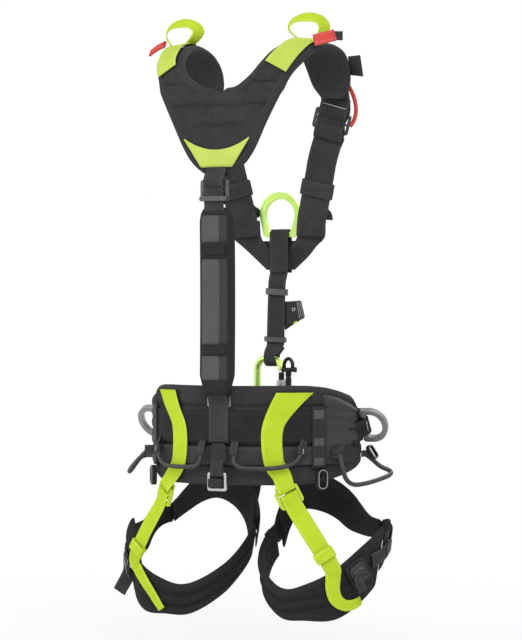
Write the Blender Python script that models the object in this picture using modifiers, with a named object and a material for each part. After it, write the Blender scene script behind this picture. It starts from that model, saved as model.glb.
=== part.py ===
"""Full-body tree climbing harness, shaped as it sits on a wearer.

Metres, +Z up. The wearer's back faces -Y and the right side faces +X.
The origin is on the torso axis at the middle of the waist belt.
"""

import math

import bmesh
import bpy
import numpy as np
from mathutils import Matrix, Vector

# Webbing thickness, widths, and the bend of webbing round a buckle bar
WEB = 0.0015
WIDE_WEB = 0.044
REAR_WEB = 0.029
NARROW_WEB = 0.027
LEG_WEB = 0.028
BAR_BEND = 0.0034

# Waist: half width, depth to the back and to the front of its middle, all on the wearer's side of the pad
WAIST_HALF = 0.138
WAIST_Y = 0.047
WAIST_BACK = 0.126
WAIST_FRONT = 0.048
BELT_PAD = 0.0110
BELT_END = 106.0
BELT_BOTTOM = -0.064
BELT_TOP_LINE = ((0.0, 0.0700), (40.0, 0.0705), (50.5, 0.0700), (61.5, 0.0674), (70.5, 0.0628), (83.0, 0.0552),
                 (86.5, 0.0462), (90.0, 0.0372), (106.0, 0.0200))
BELT_WEB_LIFT = 0.0117
BELT_WEB_Z = 0.015
BELT_OVER_LIFT = 0.0138
GEAR_BAND_Z = -0.024
GEAR_BAND_WIDTH = 0.024
D_RING_ANGLE = 89.0
D_RING_LIFT = 0.0187
D_RING_LEAN = 34.0
SUSPENSION_LINE = {
    "right": ((0.0980, 0.0610, 0.052), (0.0860, 0.0420, 0.041), (0.0750, 0.0210, 0.0315), (0.0715, 0.0050, 0.029),
              (0.0720, -0.0170, 0.0285), (0.0750, -0.0360, 0.027), (0.0830, -0.0500, 0.026)),
    "left": ((0.0890, 0.0635, 0.040), (0.0790, 0.0420, 0.034), (0.0670, 0.0210, 0.029), (0.0635, 0.0050, 0.0285),
             (0.0635, -0.0170, 0.0285), (0.0670, -0.0360, 0.0275), (0.0770, -0.0500, 0.026)),
}
WAIST_BUCKLE_ANGLE = 202.0

# Leg adjusters below the belt: place round the waist, height of their middle, length along the webbing
ADJUSTER_ANGLE = 37.0
ADJUSTER_Z = -0.0785
ADJUSTER_HEIGHT = 0.026

# Leg loops: middle of the loop, inner radius, taper down the thigh, and angle from the back with height
LEG_X = 0.100
LEG_Y = 0.037
LEG_RADIUS = 0.0805
LEG_TAPER = 0.18
LEG_LINE = (
    (-112, -0.140), (-82, -0.170), (-54, -0.200), (-21, -0.2245), (5, -0.2215), (32, -0.2105), (62, -0.182),
    (85, -0.161), (110, -0.142), (135, -0.121), (180, -0.105), (219, -0.118), (248, -0.140), (270, -0.158),
)
LEG_PAD = 0.0090
LEG_WEB_LIFT = 0.0102
LEG_STRAP_LIFT = 0.0104
LEG_BUCKLE_TURN = 52.0
LEG_BUCKLE_RISE = 0.013
LEG_BACK_ENDS = (-104.0, 84.0)
LEG_FRONT_ENDS = (135.0, 248.0)

# Foot of each leg strap on its pad: angle round the leg, height over the middle line, width
LEG_STRAP_FOOT = {
    "right": ((29.5, 0.030, 0.0210), (29.5, 0.013, 0.0195), (32.5, -0.004, 0.0180), (40.0, -0.0185, 0.0160),
              (49.0, -0.0275, 0.0150), (57.0, -0.030, 0.0130)),
    "left": ((26.0, 0.030, 0.0210), (20.0, 0.018, 0.0180), (13.5, 0.006, 0.0150), (8.0, -0.006, 0.0130),
             (3.5, -0.016, 0.0110)),
}

# Front leg pads: angle round the leg, then lower and upper edge; the two loops hang a little unlike
LEG_FRONT_EDGES = {
    "right": ((135, -0.1435, -0.118), (155, -0.1425, -0.112), (176, -0.135, -0.083), (190, -0.121, -0.068),
              (205, -0.111, -0.058), (223, -0.108, -0.057), (236, -0.128, -0.078), (248, -0.160, -0.118)),
    "left": ((135, -0.131, -0.104), (150, -0.116, -0.078), (165, -0.102, -0.056), (180, -0.097, -0.048),
             (198, -0.106, -0.051), (215, -0.121, -0.064), (232, -0.140, -0.091), (248, -0.161, -0.119)),
}

# Shoulder yoke: inner and outer edge of the right half, from the lower tip over the shoulder to the chest
YOKE_PAD = 0.0095
YOKE_NECK_STATION = 4
YOKE_INNER = (
    (0.000, -0.097, 0.351), (0.000, -0.098, 0.372), (0.000, -0.098, 0.400), (0.000, -0.096, 0.432),
    (0.000, -0.094, 0.4645), (0.024, -0.096, 0.470), (0.046, -0.096, 0.487), (0.059, -0.086, 0.508),
    (0.065, -0.062, 0.526), (0.069, -0.034, 0.537), (0.069, 0.000, 0.541), (0.066, 0.035, 0.533),
    (0.065, 0.062, 0.514), (0.069, 0.078, 0.489), (0.080, 0.085, 0.471),
)
YOKE_OUTER = (
    (0.016, -0.097, 0.352), (0.037, -0.097, 0.368), (0.053, -0.096, 0.390), (0.069, -0.096, 0.424),
    (0.087, -0.0925, 0.4604), (0.093, -0.088, 0.473), (0.098, -0.082, 0.485), (0.1065, -0.070, 0.502),
    (0.113, -0.050, 0.518), (0.117, -0.027, 0.5305), (0.1212, 0.003, 0.5365), (0.1292, 0.036, 0.5320),
    (0.1305, 0.061, 0.511), (0.124, 0.077, 0.484), (0.110, 0.084, 0.468),
)

# Chest and front strap
STERNAL_BAR = (0.0, 0.1165, 0.280)
FRONT_TOP = (-0.0035, 0.1125, 0.212)
FRONT_END = (-0.0089, 0.1180, 0.124)
SLIDER_UPPER = 0.15
SLIDER_LOWER = 0.92
KEEPER_TOP = (0.0725, 0.0975, 0.385)
KEEPER_END = (0.0530, 0.1040, 0.300)
SHOULDER_BUCKLE = (0.0880, 0.0935, 0.437)

# Carabiner: middle of the top bar, width and height between bar centres, turn about the vertical
CARABINER_TOP = (-0.0203, 0.1225, 0.1035)
CARABINER_WIDTH = 0.044
CARABINER_HEIGHT = 0.083
CARABINER_BAR = 0.0048
CARABINER_TURN = -15.0
GATE_LOW = -0.0630
GATE_HIGH = -0.0190
GATE_RADIUS = 0.0042

# Back
REAR_BUCKLE = (0.0, -0.1055, 0.3327)
DORSAL_TOP = 0.310
DORSAL_BOTTOM = 0.072
RESTRAINT_BAR = (0.0, -0.0975, -0.0480)

# Side gear loop of the right side, from its rear to its front sewn end
SIDE_LOOP = (
    (0.1440, -0.0170, -0.022), (0.1500, -0.0205, -0.0390), (0.1555, -0.0190, -0.0560), (0.1625, -0.0090, -0.0635),
    (0.1715, 0.0105, -0.0630), (0.1805, 0.0365, -0.0590), (0.1870, 0.0600, -0.0540), (0.1845, 0.0700, -0.0490),
    (0.1720, 0.0670, -0.0430), (0.1600, 0.0640, -0.0330), (0.1516, 0.0580, -0.025),
)
SIDE_LOOP_TUBE = 0.0032
SIDE_LOOP_SWING = {"right": 0.0, "left": 22.0}

SIDES = (("right", 1), ("left", -1))
UP = np.array((0.0, 0.0, 1.0))
BACKWARD = np.array((0.0, -1.0, 0.0))
FORWARD = np.array((0.0, 1.0, 0.0))


def make_collection(name):
    collection = bpy.data.collections.new(name)
    bpy.context.scene.collection.children.link(collection)
    return collection


def make_material(name, colour, roughness, metallic=0.0):
    finish = bpy.data.materials.new(name)
    finish.use_nodes = True
    shader = finish.node_tree.nodes["Principled BSDF"]
    shader.inputs["Base Color"].default_value = (*colour, 1.0)
    shader.inputs["Roughness"].default_value = roughness
    shader.inputs["Metallic"].default_value = metallic
    return finish


for old in list(bpy.data.objects):
    bpy.data.objects.remove(old, do_unlink=True)

PARTS = make_collection("climbing_harness")
CUTTERS = make_collection("cutters")

BLACK = make_material("black_webbing", (0.035, 0.035, 0.038), 0.85)
PADDING = make_material("charcoal_padding", (0.030, 0.030, 0.032), 0.95)
LIME = make_material("lime_webbing", (0.55, 0.76, 0.05), 0.80)
RED = make_material("red_webbing", (0.75, 0.08, 0.06), 0.80)
LIME_ALLOY = make_material("lime_alloy", (0.40, 0.68, 0.10), 0.35, 1.0)
GREY_ALLOY = make_material("grey_alloy", (0.32, 0.32, 0.33), 0.45, 1.0)
STEEL = make_material("bright_steel", (0.62, 0.62, 0.64), 0.30, 1.0)
BLACK_ALLOY = make_material("black_alloy", (0.03, 0.03, 0.03), 0.50, 1.0)
BLACK_PLASTIC = make_material("black_plastic", (0.04, 0.04, 0.04), 0.55)


def add_object(name, data, finish):
    data.materials.append(finish)
    piece = bpy.data.objects.new(name, data)
    PARTS.objects.link(piece)
    return piece


def unit(vector):
    vector = np.array(vector, dtype=float)
    return vector / np.linalg.norm(vector)


def mirrored(point, side):
    return np.array((point[0] * side, point[1], point[2]))


def frame(origin, across, facing):
    """Matrix with local X along across, local Z along facing and local Y square to both."""
    z_axis = unit(facing)
    x_axis = unit(np.array(across) - np.dot(across, z_axis) * z_axis)
    y_axis = np.cross(z_axis, x_axis)
    matrix = Matrix.Identity(4)
    for column, axis in enumerate((x_axis, y_axis, z_axis, np.array(origin))):
        for index in range(3):
            matrix[index][column] = axis[index]
    return matrix


def smooth(rows, spans):
    """Points on a smooth curve through all rows, with the given number of steps between two rows."""
    knots = np.array(rows, dtype=float)
    padded = np.vstack((2 * knots[0] - knots[1], knots, 2 * knots[-1] - knots[-2]))
    points = []
    for index in range(len(knots) - 1):
        before, start, end, after = padded[index:index + 4]
        for step in range(spans):
            t = step / spans
            bend = 2 * before - 5 * start + 4 * end - after
            twist = 3 * start - before - 3 * end + after
            points.append(0.5 * (2 * start + (end - before) * t + bend * t ** 2 + twist * t ** 3))
    points.append(knots[-1])
    return np.array(points)


def row(point, facing, width):
    """One row of a webbing route: place, outward direction and width."""
    return (*point, *facing, width)


def bend(centre, first, second, start, end, width, radius=BAR_BEND, steps=6):
    """Route rows round a bar, from one angle to another in the plane of two directions."""
    rows = []
    for angle in np.linspace(math.radians(start), math.radians(end), steps + 1):
        out = math.cos(angle) * np.array(first) + math.sin(angle) * np.array(second)
        rows.append(row(np.array(centre) + radius * out, out, width))
    return rows


def sheet(name, place, columns, rows, thickness, finish, side=1, offset=1.0, crown=None, thin=0.4):
    """A grid laid by place(u, v) and thickened; crown gives each point's share of the full thickness."""
    mesh = bpy.data.meshes.new(name)
    grid = bmesh.new()
    bmesh.ops.create_grid(grid, x_segments=columns, y_segments=rows, size=0.5)
    shares = []
    for vert in grid.verts:
        u = vert.co.x + 0.5
        v = vert.co.y + 0.5
        if side < 0:
            u = 1.0 - u
        vert.co = Vector(mirrored(place(u, v), side))
        shares.append(crown(u, v) if crown else 1.0)
    grid.to_mesh(mesh)
    grid.free()
    mesh.shade_smooth()
    piece = add_object(name, mesh, finish)
    solid = piece.modifiers.new("thickness", "SOLIDIFY")
    solid.thickness = thickness
    solid.offset = offset
    solid.use_even_offset = True
    if crown:
        group = piece.vertex_groups.new(name="crown")
        for index, share in enumerate(shares):
            group.add([index], share, "REPLACE")
        solid.vertex_group = group.name
        solid.thickness_vertex_group = thin
    return piece


def ribbon(name, route, finish, side=1, spans=2, columns=1, thickness=WEB, offset=1.0, level=0):
    """Webbing along a route; its thickness grows outwards from the route, and the first rows can be level."""
    path = smooth(route, spans)
    last = len(path) - 1
    centre = path[:, :3]
    across = np.cross(np.gradient(centre, axis=0), path[:, 3:6])
    across[:level * spans] = np.cross(-UP, path[:level * spans, 3:6])
    across /= np.linalg.norm(across, axis=1)[:, None]

    def place(u, v):
        index = round(v * last)
        return centre[index] + (u - 0.5) * path[index, 6] * across[index]

    return sheet(name, place, columns, last, thickness, finish, side, offset)


def rod(name, points, radius, finish, side=1, resolution=2, cyclic=False):
    """A round bar along points."""
    curve = bpy.data.curves.new(name, "CURVE")
    curve.dimensions = "3D"
    curve.bevel_depth = radius
    curve.bevel_resolution = resolution
    curve.use_fill_caps = True
    spline = curve.splines.new("POLY")
    spline.points.add(len(points) - 1)
    for target, point in zip(spline.points, points):
        target.co = (*mirrored(point, side), 1.0)
    spline.use_cyclic_u = cyclic
    return add_object(name, curve, finish)


def pivot(piece, point):
    """Move a piece's origin to a point of its joint's axis."""
    shift = piece.matrix_world.inverted() @ Vector(point)
    piece.data.transform(Matrix.Translation(-shift))
    piece.matrix_world = piece.matrix_world @ Matrix.Translation(shift)


def to_mesh(piece):
    """Replace a curve object by a welded mesh object of the same name and place."""
    name = piece.name
    finish = piece.data.materials[0]
    place = piece.matrix_world.copy()
    mesh = bpy.data.meshes.new_from_object(piece.evaluated_get(bpy.context.evaluated_depsgraph_get()))
    bpy.data.objects.remove(piece, do_unlink=True)
    weld = bmesh.new()
    weld.from_mesh(mesh)
    bmesh.ops.remove_doubles(weld, verts=weld.verts, dist=0.00001)
    bmesh.ops.recalc_face_normals(weld, faces=weld.faces)
    weld.to_mesh(mesh)
    weld.free()
    mesh.name = name
    mesh.materials.clear()
    solid = add_object(name, mesh, finish)
    solid.matrix_world = place
    return solid


def plate(name, outlines, thickness, place, finish, round_edge=0.0):
    """A flat plate of the first outline with the other outlines as holes."""
    curve = bpy.data.curves.new(name, "CURVE")
    curve.dimensions = "2D"
    curve.fill_mode = "BOTH"
    curve.extrude = thickness / 2
    for outline in outlines:
        spline = curve.splines.new("POLY")
        spline.points.add(len(outline) - 1)
        for target, point in zip(spline.points, outline):
            target.co = (point[0], point[1], 0.0, 1.0)
        spline.use_cyclic_u = True
    flat = add_object(name, curve, finish)
    bpy.context.view_layer.update()
    piece = to_mesh(flat)
    piece.matrix_world = place
    if round_edge:
        edge = piece.modifiers.new("edge", "BEVEL")
        edge.width = round_edge
        edge.segments = 1
        edge.angle_limit = math.radians(50)
    return piece


def arc(centre, radius_x, radius_y, start, end, steps):
    """Points of an elliptical arc."""
    points = []
    for angle in np.linspace(math.radians(start), math.radians(end), steps + 1):
        points.append((centre[0] + radius_x * math.cos(angle), centre[1] + radius_y * math.sin(angle)))
    return points


def rounded(width, height, radius, middle=(0.0, 0.0), steps=2):
    """Outline of a rectangle with round corners."""
    points = []
    for turn, (sx, sy) in enumerate(((1, 1), (-1, 1), (-1, -1), (1, -1))):
        corner = (middle[0] + sx * (width / 2 - radius), middle[1] + sy * (height / 2 - radius))
        points += arc(corner, radius, radius, 90 * turn, 90 * turn + 90, steps)
    return points


def cut(piece, cutter):
    """Cut a piece with a hidden cutter."""
    for collection in list(cutter.users_collection):
        collection.objects.unlink(cutter)
    CUTTERS.objects.link(cutter)
    cutter.hide_render = True
    cutter.display_type = "WIRE"
    boolean = piece.modifiers.new("cut", "BOOLEAN")
    boolean.operation = "DIFFERENCE"
    boolean.object = cutter


def cylinder(name, start, end, radius, finish, segments=16):
    """A round pin between two points."""
    start = Vector(start)
    axis = Vector(end) - start
    mesh = bpy.data.meshes.new(name)
    shape = bmesh.new()
    bmesh.ops.create_cone(shape, cap_ends=True, segments=segments, radius1=radius, radius2=radius,
                          depth=axis.length)
    shape.to_mesh(mesh)
    shape.free()
    mesh.shade_smooth()
    mesh.set_sharp_from_angle(angle=math.radians(40))
    piece = add_object(name, mesh, finish)
    turn = axis.to_track_quat("Z", "Y").to_matrix().to_4x4()
    piece.matrix_world = Matrix.Translation(start + axis / 2) @ turn
    return piece


def ladder_lock(name, width, height, place, finish, bar=0.003, side_bar=0.004, thickness=0.0026):
    """A flat buckle with three bars and two slots; local Y runs along the webbing."""
    slot = (height - 3 * bar) / 2
    middle = (bar + slot) / 2
    holes = [rounded(width - 2 * side_bar, slot, 0.0008, (0.0, sign * middle), 1) for sign in (1, -1)]
    return plate(name, [rounded(width, height, 0.004)] + holes, thickness, place, finish)


def rise(distance, reach):
    """Soft step from 0 at an edge to 1 at reach."""
    return math.sin(min(1.0, max(0.0, distance / reach)) * math.pi / 2)


# Surfaces that the other pieces lie on

def waist_depth(angle):
    return WAIST_BACK if math.cos(math.radians(angle)) > 0 else WAIST_FRONT


def waist_out(angle):
    turn = math.radians(angle)
    return unit((waist_depth(angle) * math.sin(turn), -WAIST_HALF * math.cos(turn), 0.0))


def waist(angle, z, lift):
    """Place on the belt: degrees from the middle of the back, and lift off the wearer's side of the pad."""
    turn = math.radians(angle)
    base = np.array((WAIST_HALF * math.sin(turn), WAIST_Y - waist_depth(angle) * math.cos(turn), z))
    return base + lift * waist_out(angle)


def waist_along(angle):
    out = waist_out(angle)
    return np.array((-out[1], out[0], 0.0))


def on_belt(x, z, lift, width):
    """Webbing row over the back of the belt at a given x."""
    angle = math.degrees(math.asin(x / (WAIST_HALF + lift)))
    return row(waist(angle, z, lift), waist_out(angle), width)


LEG_CURVE = smooth(LEG_LINE, 6)


def leg_middle(turn):
    return np.interp(turn, LEG_CURVE[:, 0], LEG_CURVE[:, 1])


def leg_out(turn):
    """Outward direction of the leg loop, which leans with the taper of the thigh."""
    angle = math.radians(turn)
    return unit((math.sin(angle), -math.cos(angle), -LEG_TAPER))


def leg(turn, rise_up, lift):
    """Place on the right leg loop: degrees from its back, height over its middle line, lift off the leg."""
    angle = math.radians(turn)
    radius = LEG_RADIUS + LEG_TAPER * rise_up
    x = LEG_X + radius * math.sin(angle)
    y = LEG_Y - radius * math.cos(angle)
    return np.array((x, y, leg_middle(turn) + rise_up)) + lift * leg_out(turn)


YOKE_STEPS = 2
YOKE_EDGES = smooth([inner + outer for inner, outer in zip(YOKE_INNER, YOKE_OUTER)], YOKE_STEPS)
YOKE_ROWS = len(YOKE_EDGES) - 1
YOKE_NECK = YOKE_NECK_STATION * YOKE_STEPS / YOKE_ROWS


def yoke_flat(u, v):
    """Outer face of the yoke: u from neck edge to outer edge, v from the back tip to the chest end."""
    place = np.clip(v, 0.0, 1.0) * YOKE_ROWS
    low = min(int(place), YOKE_ROWS - 1)
    edges = YOKE_EDGES[low] + (place - low) * (YOKE_EDGES[low + 1] - YOKE_EDGES[low])
    point = edges[:3] + u * (edges[3:] - edges[:3])
    point[0] = max(point[0], 0.0)
    return point


def yoke_out(u, v):
    step = 0.5 / YOKE_ROWS
    ahead = yoke_flat(u, min(1.0, v + step)) - yoke_flat(u, max(0.0, v - step))
    wide = yoke_flat(1.0, v) - yoke_flat(0.0, v)
    return unit(np.cross(wide, ahead))


def yoke(u, v, lift):
    """Place on the yoke, lifted off the wearer's side of the pad."""
    point = yoke_flat(u, v) + (lift - YOKE_PAD) * yoke_out(u, v)
    if u < 0.001 and v <= YOKE_NECK + 0.001:
        point[0] = 0.0
    return point


# Shoulders

def build_yoke():
    def crown(u, v):
        width = np.linalg.norm(yoke_flat(1.0, v) - yoke_flat(0.0, v))
        to_edge = (1.0 - u) * width
        if v >= YOKE_NECK:
            to_edge = min(to_edge, u * width + 0.02 * max(0.0, 1.0 - (v - YOKE_NECK) * YOKE_ROWS / 2))
        ends = min(v, 1.0 - v) * 0.35
        return rise(min(to_edge, ends), 0.012)

    pad = sheet("yoke_pad", lambda u, v: yoke(u, v, 0.0), 6, YOKE_ROWS, YOKE_PAD, PADDING, crown=crown,
                thin=0.55)
    mirror = pad.modifiers.new("mirror", "MIRROR")
    mirror.merge_threshold = 0.0001
    pad.modifiers.move(1, 0)

    tip_x, tip_z = 0.048, 0.4038
    foot_x, foot_z = 0.023, 0.3640
    dip_z = 0.3877
    crescent_y = -0.0995

    def crescent(u, v):
        x = (2 * u - 1) * tip_x
        top = dip_z + (tip_z - dip_z) * (x / tip_x) ** 2
        share = max(0.0, (abs(x) - foot_x) / (tip_x - foot_x))
        bottom = foot_z + share * (tip_z - 0.002 - foot_z)
        return np.array((x, crescent_y, bottom + v * (top - bottom)))

    sheet("yoke_crescent", crescent, 16, 2, 0.0012, LIME)


def build_lanyard_loop(word, side):
    """Patch sewn to the shoulder with a webbing arch that stands across it."""
    patch_u = 0.52
    patch_width = 0.033
    loop_width = 0.021
    lift = YOKE_PAD + 0.0025
    name = "lanyard_loop_" + word
    rows = []
    for v in np.linspace(0.47, 0.725, 8):
        rows.append(row(yoke(patch_u, v, lift), yoke_out(patch_u, v), patch_width))
    patch = ribbon(name, rows, LIME, side, spans=1, columns=2)

    foot_v = 0.69
    inner = yoke(0.26, foot_v, lift + 0.0010)
    outer = yoke(0.78, foot_v, lift + 0.0010)
    top = 0.5705
    rows = [row(inner, unit((-1.0, -0.1, 0.1)), loop_width)]
    for across, height, facing in ((-0.38, 0.28, (-1.0, -0.3, -0.4)), (-0.52, 0.60, (-0.9, -0.5, 0.2)),
                                   (-0.16, 0.91, (-0.5, -0.6, 0.8)), (0.44, 1.0, (0.0, -0.65, 0.75)),
                                   (1.02, 0.91, (0.5, -0.6, 0.8)), (1.36, 0.62, (0.9, -0.5, 0.3)),
                                   (1.26, 0.28, (1.0, -0.3, -0.3))):
        point = inner + across * (outer - inner)
        point[2] += height * (top - point[2])
        rows.append(row(point, unit(facing), loop_width))
    rows.append(row(outer, unit((1.0, -0.1, 0.1)), loop_width))
    cut(patch, ribbon(name + "_arch", rows, LIME, side))
    patch.modifiers[-1].operation = "UNION"


def build_tool_loop():
    points = [(0.1150, 0.0905, 0.485), (0.1195, 0.0985, 0.469), (0.1210, 0.1020, 0.452),
              (0.1180, 0.1020, 0.438), (0.1130, 0.1000, 0.429)]
    rod("tool_loop_right", smooth(points, 3), 0.0028, RED)


def build_shoulder_strap(word, side):
    facing = unit((0.0, 1.0, 0.08))
    along = unit(np.array(KEEPER_END) - np.array(KEEPER_TOP))
    buckle = np.array(SHOULDER_BUCKLE)
    down = unit(np.array(KEEPER_TOP) - buckle)
    out = unit(facing - np.dot(facing, down) * down)
    rows = []
    for v in (0.90, 0.945):
        rows.append(row(yoke(0.5, v, YOKE_PAD + 0.0022), yoke_out(0.5, v), WIDE_WEB))
    for step, swing in ((-0.0200, 0.0034), (-0.0145, 0.0034), (-0.0105, 0.0030), (-0.0055, 0.0),
                        (0.0, -0.0034), (0.0055, 0.0), (0.0105, 0.0030), (0.0145, 0.0034),
                        (0.0200, 0.0034)):
        rows.append(row(buckle + step * down + swing * out, out, WIDE_WEB))
    for share in (0.0, 0.33, 0.67, 1.0):
        point = np.array(KEEPER_TOP) + share * (np.array(KEEPER_END) - np.array(KEEPER_TOP))
        rows.append(row(point, facing, WIDE_WEB))
    rows.append(row((0.0508, 0.1050, 0.276), facing, WIDE_WEB))
    ribbon("shoulder_strap_" + word, rows, BLACK, side, offset=0.0)

    place = frame(mirrored(buckle, side), mirrored(np.cross(out, down), side), mirrored(out, side))
    ladder_lock("shoulder_buckle_" + word, 0.055, 0.029, place, GREY_ALLOY)

    middle = (np.array(KEEPER_TOP) + np.array(KEEPER_END)) / 2
    across = np.cross(facing, along)
    place = frame(mirrored(middle, side), mirrored(across, side), mirrored(along, side))
    plate("strap_keeper_" + word, [rounded(0.0490, 0.0070, 0.0016), rounded(0.0460, 0.0040, 0.0008)],
          0.022, place, BLACK)


# Chest

def build_chest():
    for word, side in SIDES:
        layer_y = 0.1178 if side > 0 else 0.1146
        rows = [row((0.0505, 0.1092, 0.300), FORWARD, 0.042), row((0.0490, 0.1095, 0.2760), FORWARD, 0.0430),
                row((0.0380, 0.1115, 0.2630), FORWARD, 0.0390),
                row((0.0265, layer_y, 0.2500), FORWARD, 0.0340),
                row((0.0130, layer_y, 0.2300), FORWARD, 0.0160)]
        ribbon("chest_web_" + word, rows, BLACK, side, spans=1, level=5)

    top, foot, drop, stock = 0.0305, 0.0252, 0.0335, 0.0075
    centre = drop - stock / 2

    def horseshoe(inset):
        radius = top - inset
        half = foot - inset
        low = centre - drop + inset
        corner = 0.006 - inset * 0.4
        points = arc((0.0, centre), radius, radius, -12, 192, 14)
        points += [(-half, low + corner), (-half + corner * 0.3, low + corner * 0.3), (-half + corner, low)]
        points += [(half - corner, low), (half - corner * 0.3, low + corner * 0.3), (half, low + corner)]
        return points

    place = frame(STERNAL_BAR, (1.0, 0.0, 0.0), BACKWARD)
    plate("sternal_ring", [horseshoe(0.0), horseshoe(stock)], 0.007, place, LIME_ALLOY, 0.0012)

    width = 0.0285
    rows = [row((0.0, 0.1225, 0.226), FORWARD, width), row((0.0, 0.1225, 0.262), FORWARD, width)]
    rows += bend(STERNAL_BAR, FORWARD, UP, 0, 180, width, 0.0060)
    rows += [row((0.0, 0.1105, 0.262), BACKWARD, width), row((0.0, 0.1105, 0.226), BACKWARD, width)]
    ribbon("chest_loop", rows, BLACK, spans=1)


def front_point(share):
    return np.array(FRONT_TOP) + share * (np.array(FRONT_END) - np.array(FRONT_TOP))


def build_front_strap():
    loop_width = 0.017
    loop_x = CARABINER_TOP[0] + 0.004
    bend_radius = 0.0088
    bar = (loop_x, CARABINER_TOP[1] - 0.0010, CARABINER_TOP[2])
    rows = [row((0.0, 0.1133, 0.238), BACKWARD, NARROW_WEB),
            row((-0.001, 0.1131, 0.225), BACKWARD, NARROW_WEB)]
    for share in (0.0, 0.33, 0.67, 1.0):
        rows.append(row(front_point(share), BACKWARD, NARROW_WEB))
    rows.append(row((loop_x + 0.001, bar[1] - bend_radius, 0.112), BACKWARD, loop_width))
    rows += bend(bar, BACKWARD, -UP, 0, 180, loop_width, bend_radius)
    rows += [row((loop_x + 0.001, bar[1] + bend_radius, 0.112), FORWARD, loop_width),
             row((FRONT_END[0], 0.1260, 0.124), FORWARD, 0.024)]
    ribbon("front_strap", rows, BLACK, spans=2)

    along = unit(np.array(FRONT_END) - np.array(FRONT_TOP))
    for word, share in (("upper", SLIDER_UPPER), ("lower", SLIDER_LOWER)):
        middle = front_point(share) + 0.5 * WEB * BACKWARD
        place = frame(middle, (1.0, 0.0, 0.0), along)
        plate("front_slider_" + word, [rounded(0.0335, 0.0078, 0.0030), rounded(0.0290, 0.0040, 0.0010)],
              0.0066, place, GREY_ALLOY)

    corners = np.array(((0.0135, 0.1120, 0.189), (0.0290, 0.1130, 0.186), (0.0330, 0.1130, 0.161),
                        (0.0085, 0.1120, 0.146)))

    def tag(u, v):
        low = corners[3] + u * (corners[2] - corners[3])
        high = corners[0] + u * (corners[1] - corners[0])
        return low + v * (high - low)

    sheet("inspection_tag", tag, 2, 2, 0.0009, BLACK)


def carabiner_place(across, up):
    """Place in the carabiner's plane, measured from the middle of its top bar."""
    turn = math.radians(CARABINER_TURN)
    step = across * np.array((math.cos(turn), math.sin(turn), 0.0))
    return np.array(CARABINER_TOP) + step + up * UP


def build_carabiner():
    half = CARABINER_WIDTH / 2
    bend_top, bend_low = 0.016, 0.020
    path = [(half, GATE_HIGH + 0.0020)]
    path += arc((half - bend_top, -bend_top), bend_top, bend_top, 0, 90, 4)
    path += arc((-half + bend_top, -bend_top), bend_top, bend_top, 90, 180, 4)
    path += arc((-half + bend_low, -CARABINER_HEIGHT + bend_low), bend_low, bend_low, 180, 270, 4)
    path += arc((half - bend_low, -CARABINER_HEIGHT + bend_low), bend_low, bend_low, 270, 345, 4)
    points = [carabiner_place(*point) for point in path]
    body = to_mesh(rod("carabiner_body", points, CARABINER_BAR, LIME_ALLOY, resolution=3))
    pivot(body, CARABINER_TOP)

    plane_across = carabiner_place(1, 0) - carabiner_place(0, 0)
    plane_out = np.cross(plane_across, UP)
    hinge = carabiner_place(half, GATE_LOW)
    ear = 0.0012
    for word, sign in (("front", 1), ("back", -1)):
        middle = hinge + sign * (GATE_RADIUS + 0.0002 + ear / 2) * plane_out - 0.0045 * UP
        place = frame(middle, plane_across, plane_out)
        cut(body, plate("fork_blank_" + word, [rounded(0.0064, 0.0150, 0.0030)], ear, place, LIME_ALLOY))
        body.modifiers[-1].operation = "UNION"

    reach = GATE_RADIUS * plane_out
    gate_foot = carabiner_place(half, GATE_LOW - 0.0020)
    gate_tip = carabiner_place(half, GATE_HIGH)
    gate = cylinder("carabiner_gate", gate_foot, gate_tip, GATE_RADIUS, BLACK_ALLOY)
    cut(gate, cylinder("gate_bore", hinge - 3 * reach, hinge + 3 * reach, 0.0016, BLACK_ALLOY, 12))
    pivot(gate, hinge)
    pivot(cylinder("carabiner_pin", hinge - reach, hinge + reach, 0.0013, STEEL, 12), CARABINER_TOP)
    low, high = GATE_LOW + 0.0080, GATE_LOW + 0.0330
    place = frame(carabiner_place(half, (low + high) / 2), plane_out, UP)
    grips = arc((0.0, 0.0), 0.0072, 0.0072, 0, 330, 11)
    bore = arc((0.0, 0.0), GATE_RADIUS + 0.0004, GATE_RADIUS + 0.0004, 0, 337.5, 15)
    plate("carabiner_sleeve", [grips, bore], high - low, place, STEEL)


def build_shackle():
    middle = np.array((0.0190, 0.1000, 0.0885))
    half = 0.0065
    bow = [middle + (-half, 0.0, 0.0)]
    for angle in np.linspace(math.pi, 0.0, 7):
        bow.append(middle + (half * math.cos(angle), 0.0, 0.006 + 0.0095 * math.sin(angle)))
    bow.append(middle + (half, 0.0, 0.0))
    body = to_mesh(rod("bridge_shackle", bow, 0.0026, BLACK_ALLOY))
    for word, before, after, radius in (("pin", (0.0095, 0, 0), (0.0120, 0, 0), 0.0036),
                                        ("stem", (0, 0, 0.0765), (0, 0, 0.0010), 0.0044)):
        blank_name = "shackle_" + word + "_blank"
        cut(body, cylinder(blank_name, middle - before, middle + after, radius, BLACK_ALLOY, 12))
        body.modifiers[-1].operation = "UNION"


# Back

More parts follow.
